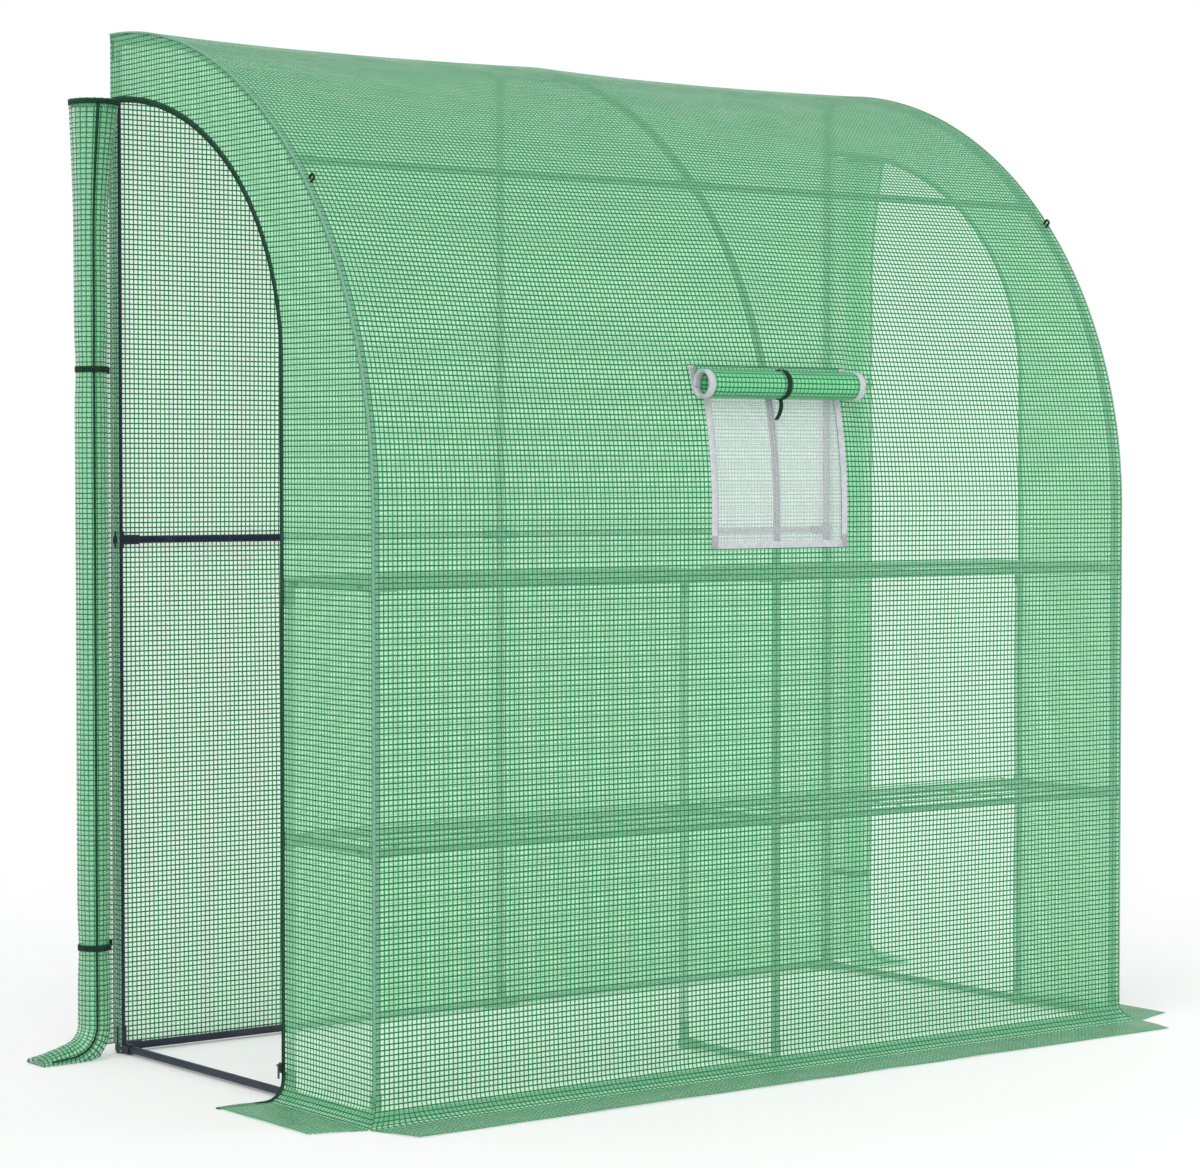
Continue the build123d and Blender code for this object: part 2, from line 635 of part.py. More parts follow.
FLAP_R = (FLAP_ROLL_D - FLAP_CLOTH) / 2
FLAP_ARC = DEPTH + FLAP_ROLL_OFF
FLAP_ANGLE = math.degrees(math.asin(FLAP_ROLL_RISE / FLAP_ARC))
FLAP_C = arch_point(FLAP_ANGLE, FLAP_ARC)
FLAP_SEAM = arch_point(wall_angle(WINDOW_TOP_Z), DEPTH + BORDER_T + SEAT_GAP + FLAP_TAPE_CLOTH / 2)
FLAP_REACH = math.dist(FLAP_C, FLAP_SEAM)
FLAP_LEAD = math.sqrt(FLAP_REACH**2 - FLAP_R**2)
FLAP_START = math.degrees(math.atan2(FLAP_SEAM[1] - FLAP_C[1], FLAP_SEAM[0] - FLAP_C[0]))
FLAP_START -= math.degrees(math.acos(FLAP_R / FLAP_REACH))
FLAP_ROLL = (FLAP_C, FLAP_R, FLAP_TURN_STEP, FLAP_QUARTERS, 0, FLAP_START, -1)


def window_roll():
    """Open roll of the flap with its lead up to the seam; the fastening tape thickens both ends."""
    thin = spiral_face(FLAP_ROLL, FLAP_CLOTH, FLAP_LEAD)
    thick = spiral_face(FLAP_ROLL, FLAP_TAPE_CLOTH, FLAP_LEAD)
    half = FLAP_W / 2
    body = along_x(thin, -half + FLAP_TAPE, half - FLAP_TAPE)
    return body + along_x(thick, -half, -half + FLAP_TAPE) + along_x(thick, half - FLAP_TAPE, half)


def window_strap():
    """Strap around the middle of the roll with a hanging tail."""
    inside = FLAP_ROLL_D / 2 + SEAT_GAP
    rings = [RegularPolygon(r, TURN_CHORDS, rotation=FLAP_START) for r in (inside + STRAP_T, inside)]
    ring = Pos(*FLAP_C) * (rings[0] - rings[1])
    low = FLAP_C[1] - inside - STRAP_T
    tail = Pos(FLAP_C[0], low - STRAP_TAIL / 2 + STRAP_T / 2) * Rectangle(STRAP_T, STRAP_TAIL)
    band = along_x(ring + tail, -STRAP_W / 2, STRAP_W / 2)
    a = math.radians(FLAP_START)
    middle = (FLAP_C[0] + FLAP_R * math.cos(a), FLAP_C[1] + FLAP_R * math.sin(a))
    reach = FLAP_LEAD + CUT
    slot = Pos(0, reach / 2) * Rectangle(FLAP_CLOTH + 2 * SEAT_GAP, reach)
    slot = Pos(*middle) * (Rot(0, 0, FLAP_START) * slot)
    return band - along_x(slot, -STRAP_W, STRAP_W)


PARTS["window_roll"] = window_roll()
PARTS["window_strap"] = window_strap()


# Guy loops on the roof


def guy_loop(x):
    """Cord loop that stands on the roof film at one end frame."""
    low = SEAT_GAP
    legs = Pos(0, (low + GUY_LEG) / 2)
    outer = Pos(0, GUY_LEG) * Circle(GUY_R) + legs * Rectangle(2 * GUY_R, GUY_LEG - low)
    hole = GUY_R - GUY_CORD
    inner = Pos(0, GUY_LEG) * Circle(hole) + legs * Rectangle(2 * hole, GUY_LEG)
    a = math.radians(GUY_ANGLE)
    spot = arch_point(GUY_ANGLE, DEPTH)
    plane = Plane(origin=(x - GUY_CORD / 2, *spot), x_dir=(0, math.sin(a), math.cos(a)), z_dir=X_AXIS)
    return extrude(plane * (outer - inner), amount=GUY_CORD)


PARTS["guy_loops"] = group([guy_loop(-END_X + GUY_IN), guy_loop(END_X - GUY_IN)])


for node, shape in PARTS.items():
    shape.label = node
    export_step(shape, f"parts/{node}.step")

print("nodes", len(PARTS))
print("door roll gap", round(spiral_gap(DOOR_ROLL, DOOR_CLOTH), 2))
print("window roll gap", round(spiral_gap(FLAP_ROLL, FLAP_TAPE_CLOTH), 2))
print("flap centre", FLAP_C, "angle", round(FLAP_ANGLE, 3))
print("pull bar", PULL_X, SLIDER_Y, PULL_Z)
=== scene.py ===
"""Lean-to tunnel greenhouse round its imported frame: reinforced film, net, tapes, rolls and finishes."""
import logging
import math
from dataclasses import dataclass, replace
from enum import Enum
from typing import Callable, Mapping, Optional, Sequence, Union

import bpy
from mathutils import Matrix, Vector, noise


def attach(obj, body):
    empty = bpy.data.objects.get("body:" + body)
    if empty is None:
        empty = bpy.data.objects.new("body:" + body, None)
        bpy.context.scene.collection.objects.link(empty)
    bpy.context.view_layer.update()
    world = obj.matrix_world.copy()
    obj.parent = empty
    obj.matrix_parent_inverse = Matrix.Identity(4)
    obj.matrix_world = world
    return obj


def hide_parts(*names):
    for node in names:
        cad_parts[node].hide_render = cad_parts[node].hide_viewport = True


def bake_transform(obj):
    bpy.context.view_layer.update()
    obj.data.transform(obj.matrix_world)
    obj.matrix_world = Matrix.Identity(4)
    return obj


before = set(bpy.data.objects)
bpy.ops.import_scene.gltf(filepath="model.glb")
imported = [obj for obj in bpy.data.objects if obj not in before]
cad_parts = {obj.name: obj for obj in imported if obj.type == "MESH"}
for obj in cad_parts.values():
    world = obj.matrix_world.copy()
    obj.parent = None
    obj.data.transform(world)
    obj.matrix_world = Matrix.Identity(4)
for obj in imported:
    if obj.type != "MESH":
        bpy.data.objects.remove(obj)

LOG = logging.getLogger("greenhouse")
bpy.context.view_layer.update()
Pair = tuple[float, float]
Triple = tuple[float, float, float]
Colour = tuple[float, float, float]
Station = tuple[Vector, Vector, Vector]
Place = Callable[[float, float], Vector]
FlatMap = Callable[[float, float], Pair]
Test = Callable[[float, float], bool]
Object = bpy.types.Object
Material = bpy.types.Material
Node = bpy.types.Node
Tree = bpy.types.NodeTree
Socket = bpy.types.NodeSocket
Value = Union[Socket, float, Colour]
Inputs = Mapping[Union[str, int], Value]

FRAME = "frame"
FLAT_MAP = "flat"
TINY = 1e-6
RIPPLE_LAYER = 7.3
# Number of film layers before a surface, below and above which it shows clear or hazed.
BEHIND_FILM = (1.5, 2.5)
BOX_FACES = ((3, 2, 1, 0), (4, 5, 6, 7), (0, 1, 5, 4), (1, 2, 6, 5), (2, 3, 7, 6), (3, 0, 4, 7))


class Side(Enum):
    """End of the greenhouse, as seen from the front."""

    LEFT = -1
    RIGHT = 1

    @property
    def word(self) -> str:
        """Name of the end in piece and node names."""
        return self.name.lower()

    @property
    def out(self) -> Vector:
        """Direction out of this end."""
        return Vector((self.value, 0.0, 0.0))


class Slot(Enum):
    """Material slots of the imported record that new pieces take."""

    FILM = "grid_film"
    FLAP = "flap_film"
    NET = "screen_net"
    HOOK = "hook_loop"
    BINDING = "binding"
    STRAP = "strap"


def ease(t: float) -> float:
    """Smooth step from 0 to 1, flat at both ends."""
    t = min(1.0, max(0.0, t))
    return t * t * (3.0 - 2.0 * t)


def ripple(x: float, y: float, scale: float) -> float:
    """Smooth steady noise from -1 to 1 at a given feature size."""
    return noise.noise(Vector((x / scale, y / scale, RIPPLE_LAYER)))


def as_laid(u: float, v: float) -> Pair:
    """Flat pattern of a sheet whose two parameters are lengths on it."""
    return u, v


@dataclass(frozen=True)
class Shell:
    """Sizes that the film pieces share, in metres and degrees."""

    end_x: float = 1.0
    front_y: float = -0.425
    back_y: float = 0.575
    wall: float = 1.15
    radius: float = 0.9995
    half_film: float = 0.0005
    skirt: float = 0.15
    skirt_free: float = 0.06
    bend: float = 0.04
    bend_steps: int = 6
    mitre: float = 0.036
    hoop_x: float = 0.9887
    purlin: float = 44.0
    rails_z: tuple[float, ...] = (0.0405, 0.513, 1.015, 1.15)
    jamb_y: float = -0.097
    jamb_top: float = 1.445
    door_run: float = 0.672
    door_rise: float = 0.56
    window_half: float = 0.182
    window_low: float = 1.075
    window_top: float = 1.445
    tape: float = 0.015

    @property
    def flat_end(self) -> float:
        """Profile length where the skirt starts to bend up."""
        return self.skirt - self.bend + self.half_film

    @property
    def bend_end(self) -> float:
        """Profile length where the bend meets the wall."""
        return self.flat_end + self.bend * math.pi / 2

    @property
    def bend_z(self) -> float:
        """Height where the bend meets the wall."""
        return self.bend + self.half_film

    @property
    def wall_end(self) -> float:
        """Profile length where the wall meets the roof."""
        return self.bend_end + self.wall - self.bend_z

    @property
    def roof_end(self) -> float:
        """Profile length at the top of the back wall."""
        return self.wall_end + self.radius * math.pi / 2

    @property
    def bend_stations(self) -> list[float]:
        """Profile lengths in even steps round the bend."""
        turn = self.bend_end - self.flat_end
        return [self.flat_end + turn * i / self.bend_steps for i in range(self.bend_steps + 1)]

    @property
    def opening_half(self) -> float:
        """Half the width of the window's opening inside its tape."""
        return self.window_half - self.tape

    @property
    def window_edges(self) -> list[float]:
        """Profile lengths at the tape's lower edges and then at its upper edges."""
        low, top = self.window_low, self.window_top
        return [self.length_at(z) for z in (low, low + self.tape, top - self.tape, top)]

    def bay(self, x: float) -> float:
        """How far a place is from the hoops, from 0 at a hoop to 1 halfway between two."""
        return math.sin(math.pi * min(1.0, abs(x) / self.hoop_x)) ** 2

    def lift(self, along: float, s: float, most: float, wave: float) -> float:
        """Height to which a skirt's loose film stands up, nothing at its bend.

        Args:
            along: Place along the skirt.
            s: Length along the profile from the skirt's edge.
            most: Greatest height.
            wave: Size of its waves.

        Returns:
            Height above the ground.
        """
        loose = 0.5 + 0.5 * ripple(along, s, wave)
        return most * loose * ease((self.flat_end - s) / self.skirt_free)

    def corner_reach(self, out: float) -> float:
        """How far a skirt reaches round the corner.

        Args:
            out: Distance out from its wall.

        Returns:
            Reach past the corner at that distance.
        """
        if out <= self.mitre:
            return max(0.0, out)
        return self.mitre * max(0.0, self.skirt - out) / (self.skirt - self.mitre)

    def length_at(self, z: float) -> float:
        """Profile length at a height of the wall or roof.

        Args:
            z: Height above the ground.

        Returns:
            Length along the profile from the skirt's edge.
        """
        if z <= self.wall:
            return self.bend_end + z - self.bend_z
        return self.wall_end + self.radius * math.asin((z - self.wall) / self.radius)

    def profile(self, s: float) -> tuple[Vector, Vector]:
        """Point and outward normal of the front profile in side view.

        Args:
            s: Length along the profile from the skirt's edge.

        Returns:
            Point and normal, each as (depth, height).
        """
        if s <= self.flat_end:
            return Vector((self.front_y - self.skirt + s, self.half_film)), Vector((0.0, 1.0))
        if s <= self.bend_end:
            a = (s - self.flat_end) / self.bend
            ray = Vector((math.sin(a), -math.cos(a)))
            centre = Vector((self.front_y - self.bend + self.half_film, self.bend_z))
            return centre + self.bend * ray, -ray
        if s <= self.wall_end:
            z = self.bend_z + s - self.bend_end
            return Vector((self.front_y + self.half_film, z)), Vector((-1.0, 0.0))
        a = (s - self.wall_end) / self.radius
        ray = Vector((-math.cos(a), math.sin(a)))
        return Vector((self.back_y, self.wall)) + self.radius * ray, ray


SHELL = Shell()


def spread(start: float, end: float, step: float, marks: Sequence[float] = ()) -> list[float]:
    """Positions about a step apart that also meet every mark.

    Args:
        start: First position.
        end: Last position.
        step: Wanted spacing.
        marks: Positions in between that have to be met.

    Returns:
        Rising positions from start to end.
    """
    stops = sorted({start, end, *(m for m in marks if start < m < end)})
    places = [start]
    for a, b in zip(stops, stops[1:]):
        count = max(1, round((b - a) / step))
        places += [a + (b - a) * (i + 1) / count for i in range(count)]
    return places


def link(thing: Object) -> Object:
    """Puts an object into the scene."""
    bpy.context.scene.collection.objects.link(thing)
    return thing


def new_object(name: str, points: list[Vector], faces: list[list[int]], flat: list[Pair]) -> Object:
    """Smooth-shaded mesh object with its flat pattern as UVs, in metres.

    Args:
        name: Piece name.
        points: Vertices.
        faces: Vertex numbers of each face.
        flat: Flat pattern place of each vertex.

    Returns:
        Object in the scene.
    """
    mesh = bpy.data.meshes.new(name)
    mesh.from_pydata([tuple(p) for p in points], [], faces)
    layer = mesh.uv_layers.new(name=FLAT_MAP)
    for loop in mesh.loops:
        layer.data[loop.index].uv = flat[loop.vertex_index]
    mesh.polygons.foreach_set("use_smooth", [True] * len(faces))
    mesh.update()
    return link(bpy.data.objects.new(name, mesh))


def cloth(name: str, us: Sequence[float], vs: Sequence[float], place: Place, flat: FlatMap, thick: float,
          keep: Optional[Test] = None) -> Object:
    """Sheet over a grid of two parameters.

    Args:
        name: Piece name.
        us: First parameter's positions.
        vs: Second parameter's positions.
        place: Point in space for both parameters.
        flat: Flat pattern place for both parameters, in metres.
        thick: Thickness, half to each side.
        keep: Test of a cell's middle; cells that fail it are left out.

    Returns:
        Sheet of one surface with its thickness as a modifier.
    """
    numbers: dict[tuple[int, int], int] = {}
    points: list[Vector] = []
    pattern: list[Pair] = []
    faces: list[list[int]] = []
    for i, (u0, u1) in enumerate(zip(us, us[1:])):
        for j, (v0, v1) in enumerate(zip(vs, vs[1:])):
            if keep and not keep((u0 + u1) / 2, (v0 + v1) / 2):
                continue
            face = []
            for a, b in ((i, j), (i + 1, j), (i + 1, j + 1), (i, j + 1)):
                if (a, b) not in numbers:
                    numbers[a, b] = len(points)
                    points.append(place(us[a], vs[b]))
                    pattern.append(flat(us[a], vs[b]))
                face.append(numbers[a, b])
            faces.append(face)
    piece = new_object(name, points, faces, pattern)
    solid = piece.modifiers.new("thickness", "SOLIDIFY")
    solid.thickness = thick
    solid.offset = 0.0
    return piece


def sweep(name: str, path: Sequence[Station], outline: Sequence[Pair]) -> Object:
    """Solid that runs a closed outline along a path.

    Args:
        name: Piece name.
        path: Point, sideways direction and upward direction at each station.
        outline: Sideways and upward offsets of the outline's corners.

    Returns:
        Closed solid with lengths as UVs.
    """
    count = len(outline)
    points: list[Vector] = []
    pattern: list[Pair] = []
    run = 0.0
    for i, (at, side, up) in enumerate(path):
        run += (at - path[i - 1][0]).length if i else 0.0
        for a, b in outline:
            points.append(at + a * side + b * up)
            pattern.append((a, run))
    faces = []
    for i in range(len(path) - 1):
        for k in range(count):
            n = (k + 1) % count
            faces.append([i * count + k, i * count + n, (i + 1) * count + n, (i + 1) * count + k])
    faces.append(list(range(count - 1, -1, -1)))
    faces.append([(len(path) - 1) * count + k for k in range(count)])
    return new_object(name, points, faces, pattern)


def soften(piece: Object, width: float, segments: int, turn: float) -> None:
    """Rounds the sharp edges of a piece.

    Args:
        piece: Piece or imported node.
        width: Width of the rounding.
        segments: Number of its faces.
        turn: Degrees by which an edge has to turn.
    """
    edge = piece.modifiers.new("edges", "BEVEL")
    edge.width = width
    edge.segments = segments
    edge.limit_method = "ANGLE"
    edge.angle_limit = math.radians(turn)


def dress(piece: Object, material: Material) -> None:
    """Gives a piece or node its one material."""
    piece.data.materials.clear()
    piece.data.materials.append(material)


def present(piece: Object, body: str, slot: Slot, material: Material) -> Object:
    """Dresses a piece and lets it ride on a body.

    Args:
        piece: Finished piece.
        body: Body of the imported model.
        slot: Record slot of its finish.
        material: Its material.

    Returns:
        The same piece.
    """
    dress(piece, material)
    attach(piece, body)
    LOG.info("%s rides on %s as %s", piece.name, body, slot.value)
    return piece


def stretch(piece: Object, body: str, slot: Slot, material: Material) -> None:
    """Dresses a piece that spans the frame and a body, and bakes its place into its mesh without tying it to
    either.

    Args:
        piece: Finished piece.
        body: Body that draws it.
        slot: Record slot of its finish; not used.
        material: Its material.
    """
    dress(piece, material)
    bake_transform(piece)
    LOG.info("%s bends between %s and %s", piece.name, FRAME, body)


@dataclass(frozen=True)
class Webbing:
    """Section of a flat tape with rounded upper corners, in metres."""

    low: float
    high: float
    base: float
    top: float
    corner: float
    drop: float

    def outline(self, narrow: float = 1.0) -> list[Pair]:
        """Corners of the section.

        Args:
            narrow: Factor for its width.

        Returns:
            Sideways and upward offset of each corner.
        """
        edge = self.top - self.drop
        corners = [(self.low, self.base), (self.high, self.base), (self.high, edge),
                   (self.high - self.corner, self.top), (self.low + self.corner, self.top), (self.low, edge)]
        return [(narrow * a, b) for a, b in corners]


class Wiring:
    """Adds and joins nodes in one node tree."""

    def __init__(self, tree: Tree) -> None:
        """Starts with an empty tree."""
        self.tree = tree
        tree.nodes.clear()

    def feed(self, socket: Socket, value: Value) -> None:
        """Joins an input to a socket, or sets its value.

        Args:
            socket: Input to feed.
            value: Socket, number or colour.
        """
        if isinstance(value, bpy.types.NodeSocket):
            self.tree.links.new(value, socket)
        elif socket.type == "RGBA":
            socket.default_value = (*value, 1.0)
        else:
            socket.default_value = value

    def fill(self, node: Node, inputs: Inputs) -> Node:
        """Feeds several inputs of a node.

        Args:
            node: Node to feed.
            inputs: What each input gets, by its name or number.

        Returns:
            The same node.
        """
        for key, value in inputs.items():
            self.feed(node.inputs[key], value)
        return node

    def node(self, kind: str, inputs: Optional[Inputs] = None, **settings: object) -> Node:
        """New node.

        Args:
            kind: Node type.
            inputs: What each input gets, by its name or number.
            settings: Its properties.

        Returns:
            The node.
        """
        made = self.tree.nodes.new(kind)
        for key, value in settings.items():
            setattr(made, key, value)
        return self.fill(made, inputs or {})

    def math(self, operation: str, *values: Union[Socket, float]) -> Socket:
        """Result of a math node."""
        return self.node("ShaderNodeMath", dict(enumerate(values)), operation=operation).outputs[0]

    def ramp(self, value: Socket, given: Sequence[Value], wanted: Sequence[float] = (0.0, 1.0)) -> Socket:
        """Smooth change of a value from one range to another.

        Args:
            value: Value to change.
            given: Its lower and upper limit.
            wanted: Results at the two limits.

        Returns:
            The changed value.
        """
        inputs = {"Value": value, "From Min": given[0], "From Max": given[1]}
        inputs.update({"To Min": wanted[0], "To Max": wanted[1]})
        return self.node("ShaderNodeMapRange", inputs, interpolation_type="SMOOTHSTEP").outputs["Result"]

    def blend(self, factor: Socket, first: Value, second: Value) -> Socket:
        """Colour between two colours by a factor."""
        return self.node("ShaderNodeMix", {0: factor, 6: first, 7: second}, data_type="RGBA").outputs[2]

    def mean(self, value: Socket, other: float, factor: Socket) -> Socket:
        """Value drawn toward another one by a factor."""
        return self.node("ShaderNodeMix", {0: factor, 2: value, 3: other}, data_type="FLOAT").outputs[0]

    def flat_place(self) -> Socket:
        """Flat pattern place on the surface, in metres."""
        return self.node("ShaderNodeUVMap", uv_map=FLAT_MAP).outputs[0]

    def solid_place(self) -> Socket:
        """Place in the part, in metres."""
        return self.node("ShaderNodeTexCoord").outputs["Object"]

    def parts(self, vector: Socket) -> Sequence[Socket]:
        """The three parts of a vector."""
        return self.node("ShaderNodeSeparateXYZ", {0: vector}).outputs

    def facing(self) -> Sequence[Socket]:
        """The three parts of the surface's direction."""
        return self.parts(self.node("ShaderNodeNewGeometry").outputs["Normal"])

    def grain(self, place: Socket, scale: float, detail: float = 2.0) -> Socket:
        """Noise value at a scale per metre."""
        inputs = {"Vector": place, "Scale": scale, "Detail": detail}
        return self.node("ShaderNodeTexNoise", inputs).outputs[0]

    def bump(self, height: Socket, distance: float, strength: float = 1.0) -> Socket:
        """Normal from a height."""
        inputs = {"Strength": strength, "Distance": distance, "Height": height}
        return self.node("ShaderNodeBump", inputs).outputs[0]

    def group(self, tree: Tree, **inputs: Union[Socket, float]) -> Node:
        """Places an effect group with its own values."""
        return self.node("ShaderNodeGroup", inputs, node_tree=tree)

    def surface(self, inputs: Inputs, shader: str = "ShaderNodeBsdfPrincipled",
                output: str = "ShaderNodeOutputMaterial") -> None:
        """Adds the shader with its inputs and joins it to the output."""
        made = self.node(shader, inputs)
        self.node(output, {"Surface": made.outputs[0]})


def effect(name: str, values: Sequence[str], results: Sequence[str]) -> tuple[Tree, Wiring, Node, Node]:
    """Empty effect group that takes a place and some numbers.

    Args:
        name: Group name.
        values: Names of the numbers that it takes.
        results: Names of the values that it puts out.

    Returns:
        Group tree, its wiring, its input node and its output node.
    """
    tree = bpy.data.node_groups.new(name, "ShaderNodeTree")
    tree.interface.new_socket("Place", in_out="INPUT", socket_type="NodeSocketVector")
    for label in values:
        tree.interface.new_socket(label, in_out="INPUT", socket_type="NodeSocketFloat")
    for label in results:
        tree.interface.new_socket(label, in_out="OUTPUT", socket_type="NodeSocketFloat")
    w = Wiring(tree)
    return tree, w, w.node("NodeGroupInput"), w.node("NodeGroupOutput")


@dataclass
class Effects:
    """Effect groups that the finishes share; each noise is given by its scale per metre and its detail."""

    tone: Pair = (70.0, 3.0)
    marks: Pair = (35.0, 4.0)
    mark_range: Pair = (0.56, 0.72)
    spots: Pair = (14.0, 4.0)

    def __post_init__(self) -> None:
        """Builds every group once."""
        self.grid = self.thread_grid()
        self.weave = self.tape_weave()
        self.wear = self.scuffs()

    def thread_grid(self) -> Tree:
        """Square grid of threads.

        Returns:
            Group with masks of all threads and of the rows alone, and their height.
        """
        masks = ["Threads", "Rows", "Height"]
        tree, w, given, result = effect("thread_grid", ["Pitch", "Thread", "Soft"], masks)
        pitch = given.outputs["Pitch"]
        half = w.math("DIVIDE", w.math("MULTIPLY", given.outputs["Thread"], 0.5), pitch)
        soft = w.math("DIVIDE", given.outputs["Soft"], pitch)
        edge = w.math("SUBTRACT", 0.5, half)
        limits = (w.math("SUBTRACT", edge, soft), w.math("ADD", edge, soft))
        lines = []
        for along in w.parts(given.outputs["Place"])[:2]:
            turn = w.math("FRACT", w.math("DIVIDE", along, pitch))
            lines.append(w.ramp(w.math("ABSOLUTE", w.math("SUBTRACT", turn, 0.5)), limits))
        height = w.math("ADD", *lines)
        w.fill(result, {"Threads": w.math("MAXIMUM", *lines), "Rows": lines[1], "Height": height})
        return tree

    def tape_weave(self) -> Tree:
        """Fine weave of a tape.

        Returns:
            Group with the height of its yarns and a slow change of tone.
        """
        tree, w, given, result = effect("tape_weave", ["Yarn"], ["Height", "Tone"])
        waves = []
        for along in w.parts(given.outputs["Place"])[:2]:
            count = w.math("DIVIDE", along, given.outputs["Yarn"])
            waves.append(w.math("SINE", w.math("MULTIPLY", count, 2 * math.pi)))
        height = w.ramp(w.math("MULTIPLY", *waves), (-1.0, 1.0))
        w.fill(result, {"Height": height, "Tone": w.grain(given.outputs["Place"], *self.tone)})
        return tree

    def scuffs(self) -> Tree:
        """Handling marks, and a mask that thickens toward the ground: dust on the hard parts, painted shade
        on the film.

        Returns:
            Group with a mask of each.
        """
        tree, w, given, result = effect("scuffs", ["Reach"], ["Marks", "Dust"])
        place = given.outputs["Place"]
        low = w.math("SUBTRACT", 1.0, w.math("DIVIDE", w.parts(place)[2], given.outputs["Reach"]))
        # Ground mask: dust on the hard finishes, painted shade on the film.
        dust = w.math("MULTIPLY", w.ramp(low, (0.0, 1.0)), w.grain(place, *self.spots))
        w.fill(result, {"Marks": w.ramp(w.grain(place, *self.marks), self.mark_range), "Dust": dust})
        return tree


def start_material(name: str) -> tuple[Material, Wiring]:
    """New material with an empty tree.

    Args:
        name: Material name.

    Returns:
        Material and its wiring.
    """
    material = bpy.data.materials.new(name)
    material.use_nodes = True
    return material, Wiring(material.node_tree)


@dataclass(frozen=True)
class FilmFinish:
    """Clear film or net with a grid of threads."""

    name: str
    thread: Colour
    row: Colour
    cell: Colour
    pitch: float = 0.0105
    width: float = 0.0028
    soft: float = 0.0004
    tone: Pair = (9.0, 3.0)
    row_tone: Pair = (0.2, 0.6)
    row_least: float = 0.75
    cell_alpha: float = 0.24
    thread_alpha: float = 0.9
    haze_most: float = 0.92
    haze_alpha: float = 0.3
    haze_yarn: float = 0.64
    lit_through: float = 0.35
    roughness: float = 0.42
    gloss_tone: Pair = (0.25, 0.75)
    gloss_change: Pair = (-0.06, 0.08)
    relief: float = 0.0004
    relief_strength: float = 0.5
    shine: float = 0.16
    # Painted shade: colour toward which the cells turn near the ground, standing in for the shade on the
    # floor under the skirt, and on level faces such as the roof and skirts, to darken what the light from
    # above brightens; then its reach above the ground, the opacity it adds, the range of levelness and its
    # strength on level faces.
    shade_colour: Colour = (0.12, 0.42, 0.22)
    ground_shade_reach: float = 0.03
    shade_opacity: float = 0.24
    level: Pair = (0.3, 0.9)
    level_shade: float = 0.46

    def material(self, effects: Effects) -> Material:
        """Film material.

        Args:
            effects: Shared effect groups.

        Returns:
            Material with the grid in its colour, opacity and relief, and painted shade near the ground and
            on level faces.
        """
        material, w = start_material(self.name)
        place = w.flat_place()
        sizes = {"Pitch": self.pitch, "Thread": self.width, "Soft": self.soft}
        grid = w.group(effects.grid, Place=place, **sizes).outputs
        tone = w.grain(place, *self.tone)
        rows = w.math("MULTIPLY", grid["Rows"], w.ramp(tone, self.row_tone, (self.row_least, 1.0)))
        yarn = w.blend(rows, self.thread, self.row)
        ray = w.node("ShaderNodeLightPath").outputs
        haze = w.ramp(ray["Transparent Depth"], BEHIND_FILM, (0.0, self.haze_most))
        seen = w.ramp(ray["Is Camera Ray"], (0.0, 1.0), (self.lit_through, 1.0))
        # Painted shade: the ground mask (dust) and the level-face mask (lying) darken the cells toward the
        # shade colour and make them more opaque.
        dust = w.group(effects.wear, Place=w.solid_place(), Reach=self.ground_shade_reach).outputs["Dust"]
        lying = w.ramp(w.math("ABSOLUTE", w.facing()[2]), self.level, (0.0, self.level_shade))
        painted_shade = w.math("MAXIMUM", dust, lying)
        cell = w.blend(painted_shade, self.cell, self.shade_colour)
        cover = w.mean(grid["Threads"], self.haze_alpha, haze)
        opacity = w.math("MULTIPLY_ADD", cover, self.thread_alpha - self.cell_alpha, self.cell_alpha)
        opacity = w.math("MULTIPLY_ADD", painted_shade, self.shade_opacity, opacity)
        rough = [self.roughness + change for change in self.gloss_change]
        w.surface({"Base Color": w.blend(w.mean(grid["Threads"], self.haze_yarn, haze), cell, yarn),
                   "Alpha": w.math("MULTIPLY", opacity, seen),
                   "Roughness": w.ramp(tone, self.gloss_tone, rough),
                   "Normal": w.bump(grid["Height"], self.relief, self.relief_strength),
                   "Specular IOR Level": self.shine})
        return material


@dataclass(frozen=True)
class TapeFinish:
    """Woven tape, strap, cord or fastening tape, with stitching where it is sewn on."""

    name: str
    colour: Colour
    deep: Colour
    yarn: float = 0.0016
    tone: Pair = (0.3, 0.7)
    # Share of the deep colour painted into the weave's valleys as painted shade.
    valley_shade: float = 0.35
    relief: float = 0.0004
    roughness: float = 0.8
    rough_most: float = 0.95
    shine: float = 0.25
    stitch: Optional[Colour] = None
    stitch_at: float = 0.0
    stitch_half: Pair = (0.0004, 0.0007)
    stitch_step: float = 0.006
    stitch_share: Pair = (0.62, 0.68)

    def material(self, effects: Effects) -> Material:
        """Tape material.

        Args:
            effects: Shared effect groups.

        Returns:
            Material with weave, tone, painted shade in the weave's valleys and, if set, a row of stitches.
        """
        material, w = start_material(self.name)
        place = w.flat_place()
        weave = w.group(effects.weave, Place=place, Yarn=self.yarn).outputs
        colour = w.blend(w.ramp(weave["Tone"], self.tone), self.colour, self.deep)
        # Painted shade: the weave's low yarns turn toward the deep colour.
        colour = w.blend(w.ramp(weave["Height"], (0.0, 1.0), (self.valley_shade, 0.0)), colour, self.deep)
        if self.stitch:
            across, along, _ = w.parts(place)
            off = w.math("ABSOLUTE", w.math("SUBTRACT", across, self.stitch_at))
            row = w.ramp(off, self.stitch_half, (1.0, 0.0))
            beat = w.math("FRACT", w.math("DIVIDE", along, self.stitch_step))
            dash = w.ramp(beat, self.stitch_share, (1.0, 0.0))
            colour = w.blend(w.math("MULTIPLY", row, dash), colour, self.stitch)
        w.surface({"Base Color": colour,
                   "Roughness": w.ramp(weave["Tone"], self.tone, (self.roughness, self.rough_most)),
                   "Normal": w.bump(weave["Height"], self.relief),
                   "Specular IOR Level": self.shine})
        return material


